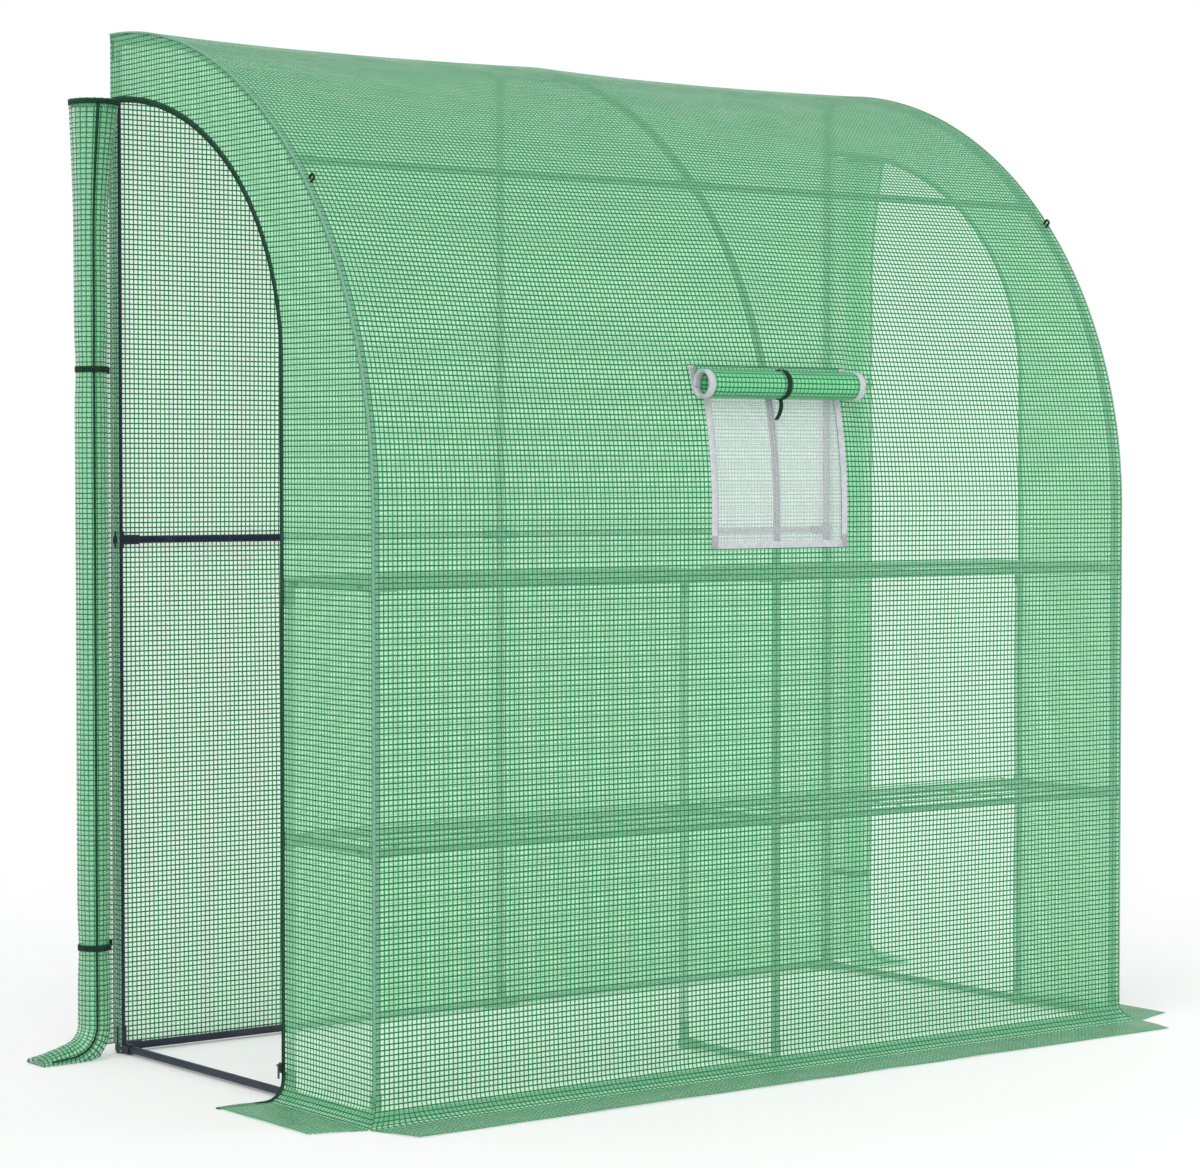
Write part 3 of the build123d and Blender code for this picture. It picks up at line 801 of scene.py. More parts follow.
@dataclass(frozen=True)
class HardFinish:
    """Powder-coated steel, moulded plastic or zip metal."""

    name: str
    colour: Colour
    worn: Colour
    roughness: float
    worn_rough: float = 0.15
    metallic: float = 0.0
    grain: float = 900.0
    relief: float = 0.00012
    relief_strength: float = 0.6
    shine: float = 0.5
    haze: float = 0.0
    to_front: Pair = (-0.1, 0.1)
    dust: Colour = (0.36, 0.35, 0.32)
    dust_reach: float = 0.5
    dust_cover: float = 0.08

    def material(self, effects: Effects) -> Material:
        """Hard material.

        Args:
            effects: Shared effect groups.

        Returns:
            Material with coat grain, handling marks and dust, hazed behind film where that is set.
        """
        material, w = start_material(self.name)
        place = w.solid_place()
        wear = w.group(effects.wear, Place=place, Reach=self.dust_reach).outputs
        colour = w.blend(wear["Marks"], self.colour, self.worn)
        dusty = w.math("MULTIPLY", wear["Dust"], self.dust_cover)
        rough = (self.roughness, self.roughness + self.worn_rough)
        inputs = {"Base Color": w.blend(dusty, colour, self.dust),
                  "Roughness": w.ramp(wear["Marks"], (0.0, 1.0), rough),
                  "Normal": w.bump(w.grain(place, self.grain), self.relief, self.relief_strength),
                  "Metallic": self.metallic,
                  "Specular IOR Level": self.shine}
        if self.haze:
            behind = w.ramp(w.node("ShaderNodeLightPath").outputs["Transparent Depth"], BEHIND_FILM)
            front = w.ramp(w.facing()[1], self.to_front, (self.haze, 0.0))
            inputs["Alpha"] = w.math("SUBTRACT", 1.0, w.math("MULTIPLY", behind, front))
        w.surface(inputs)
        return material


class Wardrobe:
    """Every material of the greenhouse, made once."""

    def __init__(self) -> None:
        """Builds the effects and the materials."""
        film = FilmFinish("reinforced film", thread=(0.015, 0.216, 0.062), row=(0.008, 0.138, 0.048),
                          cell=(0.42, 0.92, 0.56))
        flap = replace(film, name="flap film", cell=(0.26, 0.80, 0.42), cell_alpha=0.45)
        door = replace(film, name="door film", cell=(0.55, 0.98, 0.70), cell_alpha=0.07, haze_alpha=0.22,
                       haze_yarn=0.55)
        net = FilmFinish("window net", thread=(0.44, 0.51, 0.51), row=(0.38, 0.45, 0.45),
                         cell=(0.95, 0.98, 0.99), pitch=0.0074, width=0.0018, soft=0.0003, cell_alpha=0.2,
                         thread_alpha=0.6, roughness=0.6)
        hook = TapeFinish("hook and loop tape", colour=(0.70, 0.73, 0.76), deep=(0.56, 0.59, 0.63),
                          yarn=0.0024, relief=0.0008, roughness=0.9, stitch=(0.75, 0.76, 0.8),
                          stitch_at=0.0125)
        binding = TapeFinish("green binding", colour=(0.009, 0.058, 0.030), deep=(0.005, 0.036, 0.018),
                             stitch=(0.02, 0.12, 0.065), stitch_at=0.0095)
        seam = TapeFinish("seam tape", colour=(0.20, 0.42, 0.29), deep=(0.14, 0.34, 0.22), yarn=0.003,
                          stitch=(0.40, 0.50, 0.50), stitch_at=-0.0015, stitch_step=0.009)
        strap = TapeFinish("tie webbing", colour=(0.008, 0.040, 0.022), deep=(0.004, 0.024, 0.013),
                           yarn=0.0012)
        tube = HardFinish("coated tube", colour=(0.005, 0.0145, 0.029), worn=(0.014, 0.026, 0.043),
                          roughness=0.45, shine=0.2)
        far_tube = replace(tube, name="coated tube at the back", haze=0.86)
        plastic = HardFinish("connector plastic", colour=(0.005, 0.012, 0.022), worn=(0.014, 0.022, 0.034),
                             roughness=0.5, grain=1600.0, relief=0.00025, shine=0.25)
        wire = HardFinish("shelf wire", colour=(0.02, 0.045, 0.04), worn=(0.05, 0.08, 0.075), roughness=0.42,
                          metallic=0.2)
        metal = HardFinish("zip metal", colour=(0.012, 0.05, 0.03), worn=(0.16, 0.17, 0.17), roughness=0.33,
                           metallic=0.6, grain=2500.0, relief=0.00005)
        effects = Effects()
        sheets = [finish.material(effects) for finish in (film, flap, door, net)]
        tapes = [finish.material(effects) for finish in (hook, binding, seam, strap)]
        hard = [finish.material(effects) for finish in (tube, far_tube, plastic, wire, metal)]
        self.film, self.flap, self.door, self.net = sheets
        self.hook, self.binding, self.seam, self.strap = tapes
        self.tube, self.far_tube, self.plastic, self.wire, self.zip = hard


WARDROBE = Wardrobe()


@dataclass
class Skeleton:
    """Frame tubes, connectors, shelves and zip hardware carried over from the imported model."""

    bevel: float = 0.0008
    bevel_faces: int = 2
    crease: float = 50.0
    weld: float = 0.00002
    far: tuple[str, ...] = ("back_post", "back_rail", "ridge_rails", "base_rail_back", "base_link",
                            "shelf_post", "shelf_rear")
    near: tuple[str, ...] = ("_post_", "_arch_", "_rail", "purlins")

    def rounding(self) -> Tree:
        """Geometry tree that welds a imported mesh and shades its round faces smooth.

        Returns:
            The tree, for a modifier.
        """
        tree = bpy.data.node_groups.new("smooth rounds", "GeometryNodeTree")
        for way in ("INPUT", "OUTPUT"):
            tree.interface.new_socket("Mesh", in_out=way, socket_type="NodeSocketGeometry")
        w = Wiring(tree)
        packed = w.node("NodeGroupInput").outputs[0]
        weld = w.node("GeometryNodeMergeByDistance", {"Geometry": packed, "Distance": self.weld})
        soft = w.node("GeometryNodeSetShadeSmooth", {"Geometry": weld.outputs["Geometry"]})
        angle = w.node("GeometryNodeInputMeshEdgeAngle").outputs["Unsigned Angle"]
        limit = {0: angle, 1: math.radians(self.crease)}
        crease = w.node("FunctionNodeCompare", limit, operation="GREATER_THAN")
        edges = {"Geometry": soft.outputs["Geometry"], "Selection": crease.outputs[0], "Shade Smooth": False}
        sharp = w.node("GeometryNodeSetShadeSmooth", edges, domain="EDGE")
        w.node("NodeGroupOutput", {0: sharp.outputs["Geometry"]})
        return tree

    def material_of(self, node: str) -> Optional[Material]:
        """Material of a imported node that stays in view.

        Args:
            node: Node name.

        Returns:
            Its material, or None where a soft piece replaces the node.
        """
        kinds = ((node.endswith("_connectors"), WARDROBE.plastic),
                 (node.startswith("wire_shelf"), WARDROBE.wire),
                 (node.startswith(("zip_slider", "zip_pull")), WARDROBE.zip),
                 (node.startswith(self.far), WARDROBE.far_tube),
                 (any(word in node for word in self.near), WARDROBE.tube))
        return next((material for fits, material in kinds if fits), None)

    def build(self) -> None:
        """Gives each rigid node its material, smooth rounds and softened edges."""
        tree = self.rounding()
        for name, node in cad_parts.items():
            material = self.material_of(name)
            if not material:
                continue
            dress(node, material)
            node.modifiers.new("rounds", "NODES").node_group = tree
            if material not in (WARDROBE.tube, WARDROBE.far_tube):
                soften(node, self.bevel, self.bevel_faces, self.crease)
            LOG.info("%s is dressed as %s", name, material.name)


@dataclass
class FrontCover:
    """Skirt, front wall and quarter-round roof in one film, with the netted window."""

    film: float = 0.0008
    cell: float = 0.025
    calm: float = 0.07
    skirt_lift: float = 0.005
    skirt_wave: float = 0.16
    corner_from: float = 0.88
    corner_run: float = 0.12
    wall_sag: float = 0.004
    wall_span: float = 0.5
    wall_free: float = 0.08
    wall_fold: float = 0.0016
    wall_wave: float = 0.09
    wall_long: float = 0.25
    roof_sag: float = 0.016
    roof_fold: float = 0.0016
    roof_wave: float = 0.12
    roof_long: float = 0.3
    drape: float = 0.7
    drape_more: float = 0.5
    drape_from: float = 48.0
    drape_run: float = 20.0
    window_cell: float = 0.012
    net_t: float = 0.0006
    net_in: float = 0.0017
    tape_t: float = 0.0015
    tape_gap: float = 0.0005
    tape_edge: float = 0.0005
    tape_crease: float = 30.0
    seam_step: float = 0.02
    seam_short: float = 0.002
    # Corners of the seam tape round the film's edge, from its inner leaf over the top and down the end.
    seam_outline: tuple[Pair, ...] = ((-0.003, 0.0006), (-0.003, 0.001), (0.0004, 0.0012), (0.001, 0.0006),
                                      (0.001, -0.003), (0.0006, -0.003), (0.0004, 0.0004))
    loop_angle: float = 40.0
    loop_x: float = 0.988
    loop_cord: float = 0.0026
    # One half of the loop, as places along the roof and above it.
    loop_half: tuple[Pair, ...] = ((0.0056, 0.0135), (0.0056, 0.005), (0.0045, 0.001))
    loop_top: float = 0.0145

    def calmness(self, x: float, s: float) -> float:
        """How freely the film may move.

        Args:
            x: Place along the length.
            s: Length along the profile.

        Returns:
            0 at the window, 1 away from it.
        """
        low, _, _, high = SHELL.window_edges
        away = max(abs(x) - SHELL.window_half, low - s, s - high)
        return ease(away / self.calm)

    def wall_slack(self, x: float, z: float) -> float:
        """Outward offset on the wall: hollows between posts and rails, and upright ripples.

        Args:
            x: Place along the length.
            z: Height.

        Returns:
            Offset, below 0 where it hollows.
        """
        low, high = next((a, b) for a, b in zip(SHELL.rails_z, SHELL.rails_z[1:]) if z <= b + TINY)
        hollow = self.wall_sag * SHELL.bay(x) * math.sin(math.pi * (z - low) / (high - low))
        free = ease((z - SHELL.bend_z) / self.wall_free) * abs(math.sin(math.pi * x / SHELL.hoop_x))
        folds = self.wall_fold * free * ripple(x, self.wall_long * z, self.wall_wave)
        return folds - hollow * (high - low) / self.wall_span

    def roof_slack(self, x: float, s: float) -> float:
        """Outward offset on the roof: hollows between arches and purlin, and small folds.

        Args:
            x: Place along the length.
            s: Length along the profile.

        Returns:
            Offset, below 0 where it hollows.
        """
        a = math.degrees((s - SHELL.wall_end) / SHELL.radius)
        share = a / SHELL.purlin
        if a > SHELL.purlin:
            share = min(1.0, (a - SHELL.purlin) / (90.0 - SHELL.purlin))
        bay = SHELL.bay(x)
        folds = self.roof_fold * bay * ripple(x, self.roof_long * s, self.roof_wave)
        drape = self.drape + self.drape_more * ease((a - self.drape_from) / self.drape_run)
        return math.sin(math.pi * share) * (folds - self.roof_sag * math.sqrt(bay) * drape)

    def slack(self, x: float, s: float) -> float:
        """Outward offset of the film.

        Args:
            x: Place along the length.
            s: Length along the profile.

        Returns:
            Offset along the outward normal.
        """
        if s <= SHELL.flat_end:
            return SHELL.lift(x, s, self.skirt_lift, self.skirt_wave)
        if s <= SHELL.bend_end:
            return 0.0
        if s <= SHELL.wall_end:
            return self.calmness(x, s) * self.wall_slack(x, SHELL.bend_z + s - SHELL.bend_end)
        return self.calmness(x, s) * self.roof_slack(x, s)

    def place(self, x: float, s: float, out: float = 0.0) -> Vector:
        """Point of the film.

        Args:
            x: Place along the length.
            s: Length along the profile.
            out: Extra outward offset.

        Returns:
            Point in space.
        """
        at, normal = SHELL.profile(s)
        if s < SHELL.bend_end:
            reach = SHELL.corner_reach(SHELL.front_y - at.x)
            x += math.copysign(reach * ease((abs(x) - self.corner_from) / self.corner_run), x)
        at = at + (self.slack(x, s) + out) * normal
        return Vector((x, at.x, at.y))

    def panel(self) -> None:
        """Film from the skirt's edge over the roof to the back wall, open at the window."""
        half = SHELL.opening_half
        _, low, high, _ = SHELL.window_edges
        xs = spread(-SHELL.end_x, SHELL.end_x, self.cell, (-SHELL.hoop_x, -half, 0.0, half, SHELL.hoop_x))
        ss = spread(0.0, SHELL.roof_end, self.cell, (*SHELL.bend_stations, low, high, SHELL.wall_end))
        piece = cloth("front_film", xs, ss, self.place, as_laid, self.film,
                      lambda x, s: not (abs(x) < half and low < s < high))
        present(piece, FRAME, Slot.FILM, WARDROBE.film)
        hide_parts("front_cover")

    def tape_pattern(self, x: float, s: float) -> Pair:
        """Flat pattern place of the tape round the window.

        Args:
            x: Place along the length.
            s: Length along the profile.

        Returns:
            Distance out from the opening and place along the tape.
        """
        _, low, high, _ = SHELL.window_edges
        sideways = abs(x) - SHELL.opening_half
        upright = max(low - s, s - high)
        return max(sideways, upright), s if sideways > upright else x

    def window(self) -> None:
        """Net behind the opening and the fastening tape round it."""
        outer, half = SHELL.window_half, SHELL.opening_half
        edges = SHELL.window_edges
        xs = spread(-outer, outer, self.window_cell, (-half, half))
        ss = spread(edges[0], edges[3], self.window_cell, edges[1:3])
        net = cloth("window_net", xs, ss, lambda x, s: self.place(x, s, -self.net_in), as_laid, self.net_t)
        present(net, FRAME, Slot.NET, WARDROBE.net)
        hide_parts("window_screen")
        tape = cloth("window_tape", xs, ss, lambda x, s: self.place(x, s, self.tape_t / 2 + self.tape_gap),
                     self.tape_pattern, self.tape_t, lambda x, s: self.tape_pattern(x, s)[0] > 0.0)
        soften(tape, self.tape_edge, 1, self.tape_crease)
        present(tape, FRAME, Slot.HOOK, WARDROBE.hook)
        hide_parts("window_border")

    def corner_seam(self, side: Side) -> None:
        """Seam tape folded round the film's edge at one end, up the corner and over the arch.

        Args:
            side: End of the greenhouse.
        """
        path = []
        for s in spread(SHELL.bend_end, SHELL.roof_end - self.seam_short, self.seam_step, (SHELL.wall_end,)):
            at, normal = SHELL.profile(s)
            point = Vector((side.value * SHELL.end_x, at.x, at.y))
            path.append((point, side.out, Vector((0.0, normal.x, normal.y))))
        piece = sweep(f"corner_seam_{side.word}", path, self.seam_outline)
        present(piece, FRAME, Slot.FILM, WARDROBE.seam)

    def guy_loop(self, side: Side) -> Object:
        """Cord loop that stands on the roof at one end.

        Args:
            side: End of the greenhouse.

        Returns:
            The loop.
        """
        name = f"guy_loop_{side.word}"
        at, normal = SHELL.profile(SHELL.wall_end + SHELL.radius * math.radians(self.loop_angle))
        along = Vector((0.0, normal.y, -normal.x))
        up = Vector((0.0, normal.x, normal.y))
        base = Vector((side.value * self.loop_x, at.x, at.y))
        shape = [(-a, b) for a, b in reversed(self.loop_half)] + [(0.0, self.loop_top), *self.loop_half]
        curve = bpy.data.curves.new(name, "CURVE")
        curve.dimensions = "3D"
        curve.bevel_depth = self.loop_cord
        curve.bevel_resolution = 3
        spline = curve.splines.new("NURBS")
        spline.points.add(len(shape) - 1)
        for point, (a, b) in zip(spline.points, shape):
            point.co = (*(base + a * along + b * up), 1.0)
        spline.order_u = 3
        spline.use_endpoint_u = True
        holder = bpy.data.objects.new(f"loop_route_{side.word}", curve)
        mesh = bpy.data.meshes.new_from_object(holder)
        bpy.data.objects.remove(holder)
        mesh.name = name
        flat = mesh.uv_layers.new(name=FLAT_MAP)
        for loop in mesh.loops:
            spot = mesh.vertices[loop.vertex_index].co
            flat.data[loop.index].uv = (spot.y, spot.z)
        piece = link(bpy.data.objects.new(name, mesh))
        return present(piece, FRAME, Slot.STRAP, WARDROBE.strap)

    def build(self) -> None:
        """Makes the film, the window, both corner seams and both loops."""
        self.panel()
        self.window()
        for side in Side:
            self.corner_seam(side)
        loops = [self.guy_loop(side) for side in Side]
        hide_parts("guy_loops")


@dataclass
class EndCover:
    """Film of one end round the arched doorway, its skirt and the sewn zip."""

    side: Side
    film: float = 0.0008
    cell: float = 0.03
    cell_across: float = 0.085
    inset: float = 0.0016
    skirt_lift: float = 0.004
    skirt_wave: float = 0.11
    corner_from: float = 0.6
    corner_run: float = 0.4
    jamb_free: float = 0.35
    seam_free: float = 0.2
    hollow: float = 0.001
    fold: float = 0.0022
    wave: float = 0.1
    wave_long: float = 0.3
    arch_length: float = 0.97
    tape_step: float = 0.012
    # Corners of the zip tape, from its back leaf round the doorway's edge to its front leaf.
    tape_outline: tuple[Pair, ...] = (
        (0.0, -0.0009), (0.0072, -0.0009), (0.0072, -0.0005), (0.0006, -0.0003), (0.0006, 0.0005),
        (0.012, 0.0006), (0.012, 0.0013), (0.0114, 0.0016), (-0.0004, 0.0016), (-0.0012, 0.0008),
        (-0.0012, -0.0002))
    tooth_step: float = 0.0026
    tooth_half: float = 0.0007
    tooth_reach: Pair = (0.0002, 0.0038)
    tooth_base: float = 0.0012
    tooth_top: float = 0.0022
    tooth_taper: float = 0.0004
    teeth_low: float = 0.027

    def door_radius(self, a: float) -> float:
        """Distance from the roof's centre to the doorway's edge.

        Args:
            a: Angle above the spring line, in radians.

        Returns:
            Distance along that ray.
        """
        c, s = math.cos(a), math.sin(a)
        up = SHELL.jamb_top - SHELL.wall
        if c > TINY and SHELL.door_run * s / c <= up:
            return SHELL.door_run / c
        run2, rise2 = SHELL.door_run ** 2, SHELL.door_rise ** 2
        qa = c * c / run2 + s * s / rise2
        qb = -2 * s * up / rise2
        qc = up * up / rise2 - 1.0
        return (-qb + math.sqrt(qb * qb - 4 * qa * qc)) / (2 * qa)

    def point(self, u: float, v: float) -> Triple:
        """Place of the panel without ripples.

        Args:
            u: 0 at the doorway and 1 at the outer edge.
            v: Profile length up to the spring line, then plus the arch angle in radians.

        Returns:
            Distance past the end, depth and height.
        """
        if v <= SHELL.wall_end:
            at, _ = SHELL.profile(v)
            out = SHELL.front_y - at.x
            y = SHELL.jamb_y + (SHELL.front_y + self.inset - SHELL.jamb_y) * u
            if v < SHELL.bend_end:
                y -= (SHELL.corner_reach(out) + self.inset) * ease((u - self.corner_from) / self.corner_run)
            return out, y, at.y
        a = v - SHELL.wall_end
        r = self.door_radius(a)
        r += (SHELL.radius - self.inset - r) * u
        y = min(SHELL.back_y - r * math.cos(a), SHELL.back_y - self.inset)
        return -SHELL.half_film, y, SHELL.wall + r * math.sin(a)

    def place(self, u: float, v: float) -> Vector:
        """Point of the panel with its ripples, which die out at the sewn edges.

        Args:
            u: 0 at the doorway and 1 at the outer edge.
            v: Profile length up to the spring line, then plus the arch angle in radians.

        Returns:
            Point in space.
        """
        out, y, z = self.point(u, v)
        if v <= SHELL.flat_end:
            z += SHELL.lift(y, v, self.skirt_lift, self.skirt_wave)
        elif v > SHELL.bend_end:
            free = ease(u / self.jamb_free) * ease((1.0 - u) / self.seam_free)
            out += free * (self.fold * ripple(y, self.wave_long * z, self.wave) - self.hollow)
        return Vector((self.side.value * (SHELL.end_x + out), y, z))

    def flat(self, u: float, v: float) -> Pair:
        """Flat pattern place of the panel."""
        _, y, z = self.point(u, v)
        return (y, z) if v > SHELL.bend_end else (y, v - SHELL.bend_end + SHELL.bend_z)

    def panel(self) -> None:
        """Film panel with its skirt."""
        word = self.side.word
        us = spread(0.0, 1.0, self.cell_across)
        corner = SHELL.wall_end + math.atan((SHELL.jamb_top - SHELL.wall) / SHELL.door_run)
        marks = (*SHELL.bend_stations, SHELL.wall_end, corner)
        vs = spread(0.0, SHELL.wall_end + math.pi / 2, self.cell, marks)
        piece = cloth(f"end_film_{word}", us, vs, self.place, self.flat, self.film)
        present(piece, FRAME, Slot.FILM, WARDROBE.film)
        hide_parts(f"end_cover_{word}")

    def edge(self, step: float) -> list[Station]:
        """Stations along the doorway's edge: point, direction into the film and outward direction.

        Args:
            step: Spacing of the stations.

        Returns:
            Stations from the skirt's outer edge up the jamb and over the arch.
        """
        sign, out = self.side.value, self.side.out
        front = Vector((0.0, -1.0, 0.0))
        stations = []
        for s in spread(0.0, SHELL.bend_end, step, (SHELL.flat_end,)):
            at, normal = SHELL.profile(s)
            point = Vector((sign * (SHELL.end_x + SHELL.front_y - at.x), SHELL.jamb_y, at.y))
            stations.append((point, front, Vector((-sign * normal.x, 0.0, normal.y))))
        x = sign * (SHELL.end_x - SHELL.half_film)
        for z in spread(SHELL.bend_z, SHELL.jamb_top, step)[1:]:
            stations.append((Vector((x, SHELL.jamb_y, z)), front, out))
        count = round(self.arch_length / step)
        for i in range(1, count + 1):
            a = math.pi / 2 * i / count
            y = SHELL.back_y - SHELL.door_run * math.cos(a)
            z = SHELL.jamb_top + SHELL.door_rise * math.sin(a)
            if y > SHELL.back_y - self.inset:
                break
            slope = Vector((0.0, -math.cos(a) / SHELL.door_run, math.sin(a) / SHELL.door_rise)).normalized()
            stations.append((Vector((x, y, z)), slope, out))
        return stations

    def zip_tape(self) -> None:
        """Binding tape folded round the doorway's edge."""
        tape = sweep(f"zip_tape_{self.side.word}", self.edge(self.tape_step), self.tape_outline)
        present(tape, FRAME, Slot.BINDING, WARDROBE.binding)
        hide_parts(f"zip_track_{self.side.word}")

    def zip_teeth(self) -> None:
        """Row of tapered teeth on the tape."""
        points: list[Vector] = []
        faces: list[list[int]] = []
        flat: list[Pair] = []
        teeth = [station for station in self.edge(self.tooth_step) if station[0].z > self.teeth_low]
        for (at, side, up), (after, _, _) in zip(teeth, teeth[1:]):
            run = (after - at).normalized() * self.tooth_half
            first = len(points)
            for level, taper in ((self.tooth_base, 0.0), (self.tooth_top, self.tooth_taper)):
                near, far = self.tooth_reach[0] + taper, self.tooth_reach[1] - taper
                for a, way in ((near, -1), (far, -1), (far, 1), (near, 1)):
                    points.append(at + a * side + level * up + way * run)
                    flat.append((a, at.z))
            faces += [[first + k for k in ring] for ring in BOX_FACES]
        coil = new_object(f"zip_teeth_{self.side.word}", points, faces, flat)
        present(coil, FRAME, Slot.BINDING, WARDROBE.binding)

    def build(self) -> None:
        """Makes the panel and the zip."""
        self.panel()
        self.zip_tape()
        self.zip_teeth()


@dataclass
class BackCover:
    """Flat film of the back wall with its end flanges and the hems that the doors are sewn to."""

    low: float = 0.0033
    high: float = 2.1482
    film: float = 0.0008
    flange: float = 0.028
    flange_in: float = 0.0018
    cell: float = 0.03
    rails_z: tuple[float, ...] = (0.012, 1.088, 2.139)
    sag: float = 0.005
    fold: float = 0.0025
    wave: float = 0.13
    wave_long: float = 0.3
    hem: Webbing = Webbing(low=-0.001, high=0.0012, base=0.0, top=0.0029, corner=0.0004, drop=0.0004)
    hem_y: float = 0.571
    hem_low: float = 0.02
    hem_top: float = 2.003
    hem_step: float = 0.1

    @property
    def edge(self) -> float:
        """Half length of the wall, where its flanges start."""
        return SHELL.end_x - self.flange_in

    def place(self, u: float, z: float) -> Vector:
        """Point of the back film, with its flange round the end posts.

        Args:
            u: Place along the length, past the end on the flange.
            z: Height.

        Returns:
            Point in space.
        """
        y = SHELL.back_y - SHELL.half_film
        if abs(u) > self.edge:
            return Vector((math.copysign(self.edge, u), y - (abs(u) - self.edge), z))
        span = 0.0
        for a, b in zip(self.rails_z, self.rails_z[1:]):
            if a <= z <= b:
                span = math.sin(math.pi * (z - a) / (b - a))
        hollow = self.sag + self.fold * ripple(u, self.wave_long * z, self.wave)
        return Vector((u, y - span * SHELL.bay(u) * hollow, z))

    def wall(self) -> None:
        """Film of the wall with both flanges."""
        end = self.edge + self.flange
        us = spread(-end, end, self.cell, (-self.edge, -SHELL.hoop_x, 0.0, SHELL.hoop_x, self.edge))
        zs = spread(self.low, self.high, self.cell, self.rails_z)
        piece = cloth("back_film", us, zs, self.place, as_laid, self.film)
        present(piece, FRAME, Slot.FILM, WARDROBE.film)
        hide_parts("back_cover")
        2 * (self.edge + self.flange)

    def door_hem(self, side: Side) -> None:
        """Strip that one door is sewn to.

        Args:
            side: End of the greenhouse.
        """
        back = Vector((0.0, 1.0, 0.0))
        path = [(Vector((side.value * SHELL.end_x, self.hem_y, z)), back, side.out)
                for z in spread(self.hem_low, self.hem_top, self.hem_step)]
        strip = sweep(f"door_hem_{side.word}", path, self.hem.outline())
        present(strip, FRAME, Slot.FILM, WARDROBE.seam)

    def build(self) -> None:
        """Makes the film and both hems."""
        self.wall()
        for side in Side:
            self.door_hem(side)


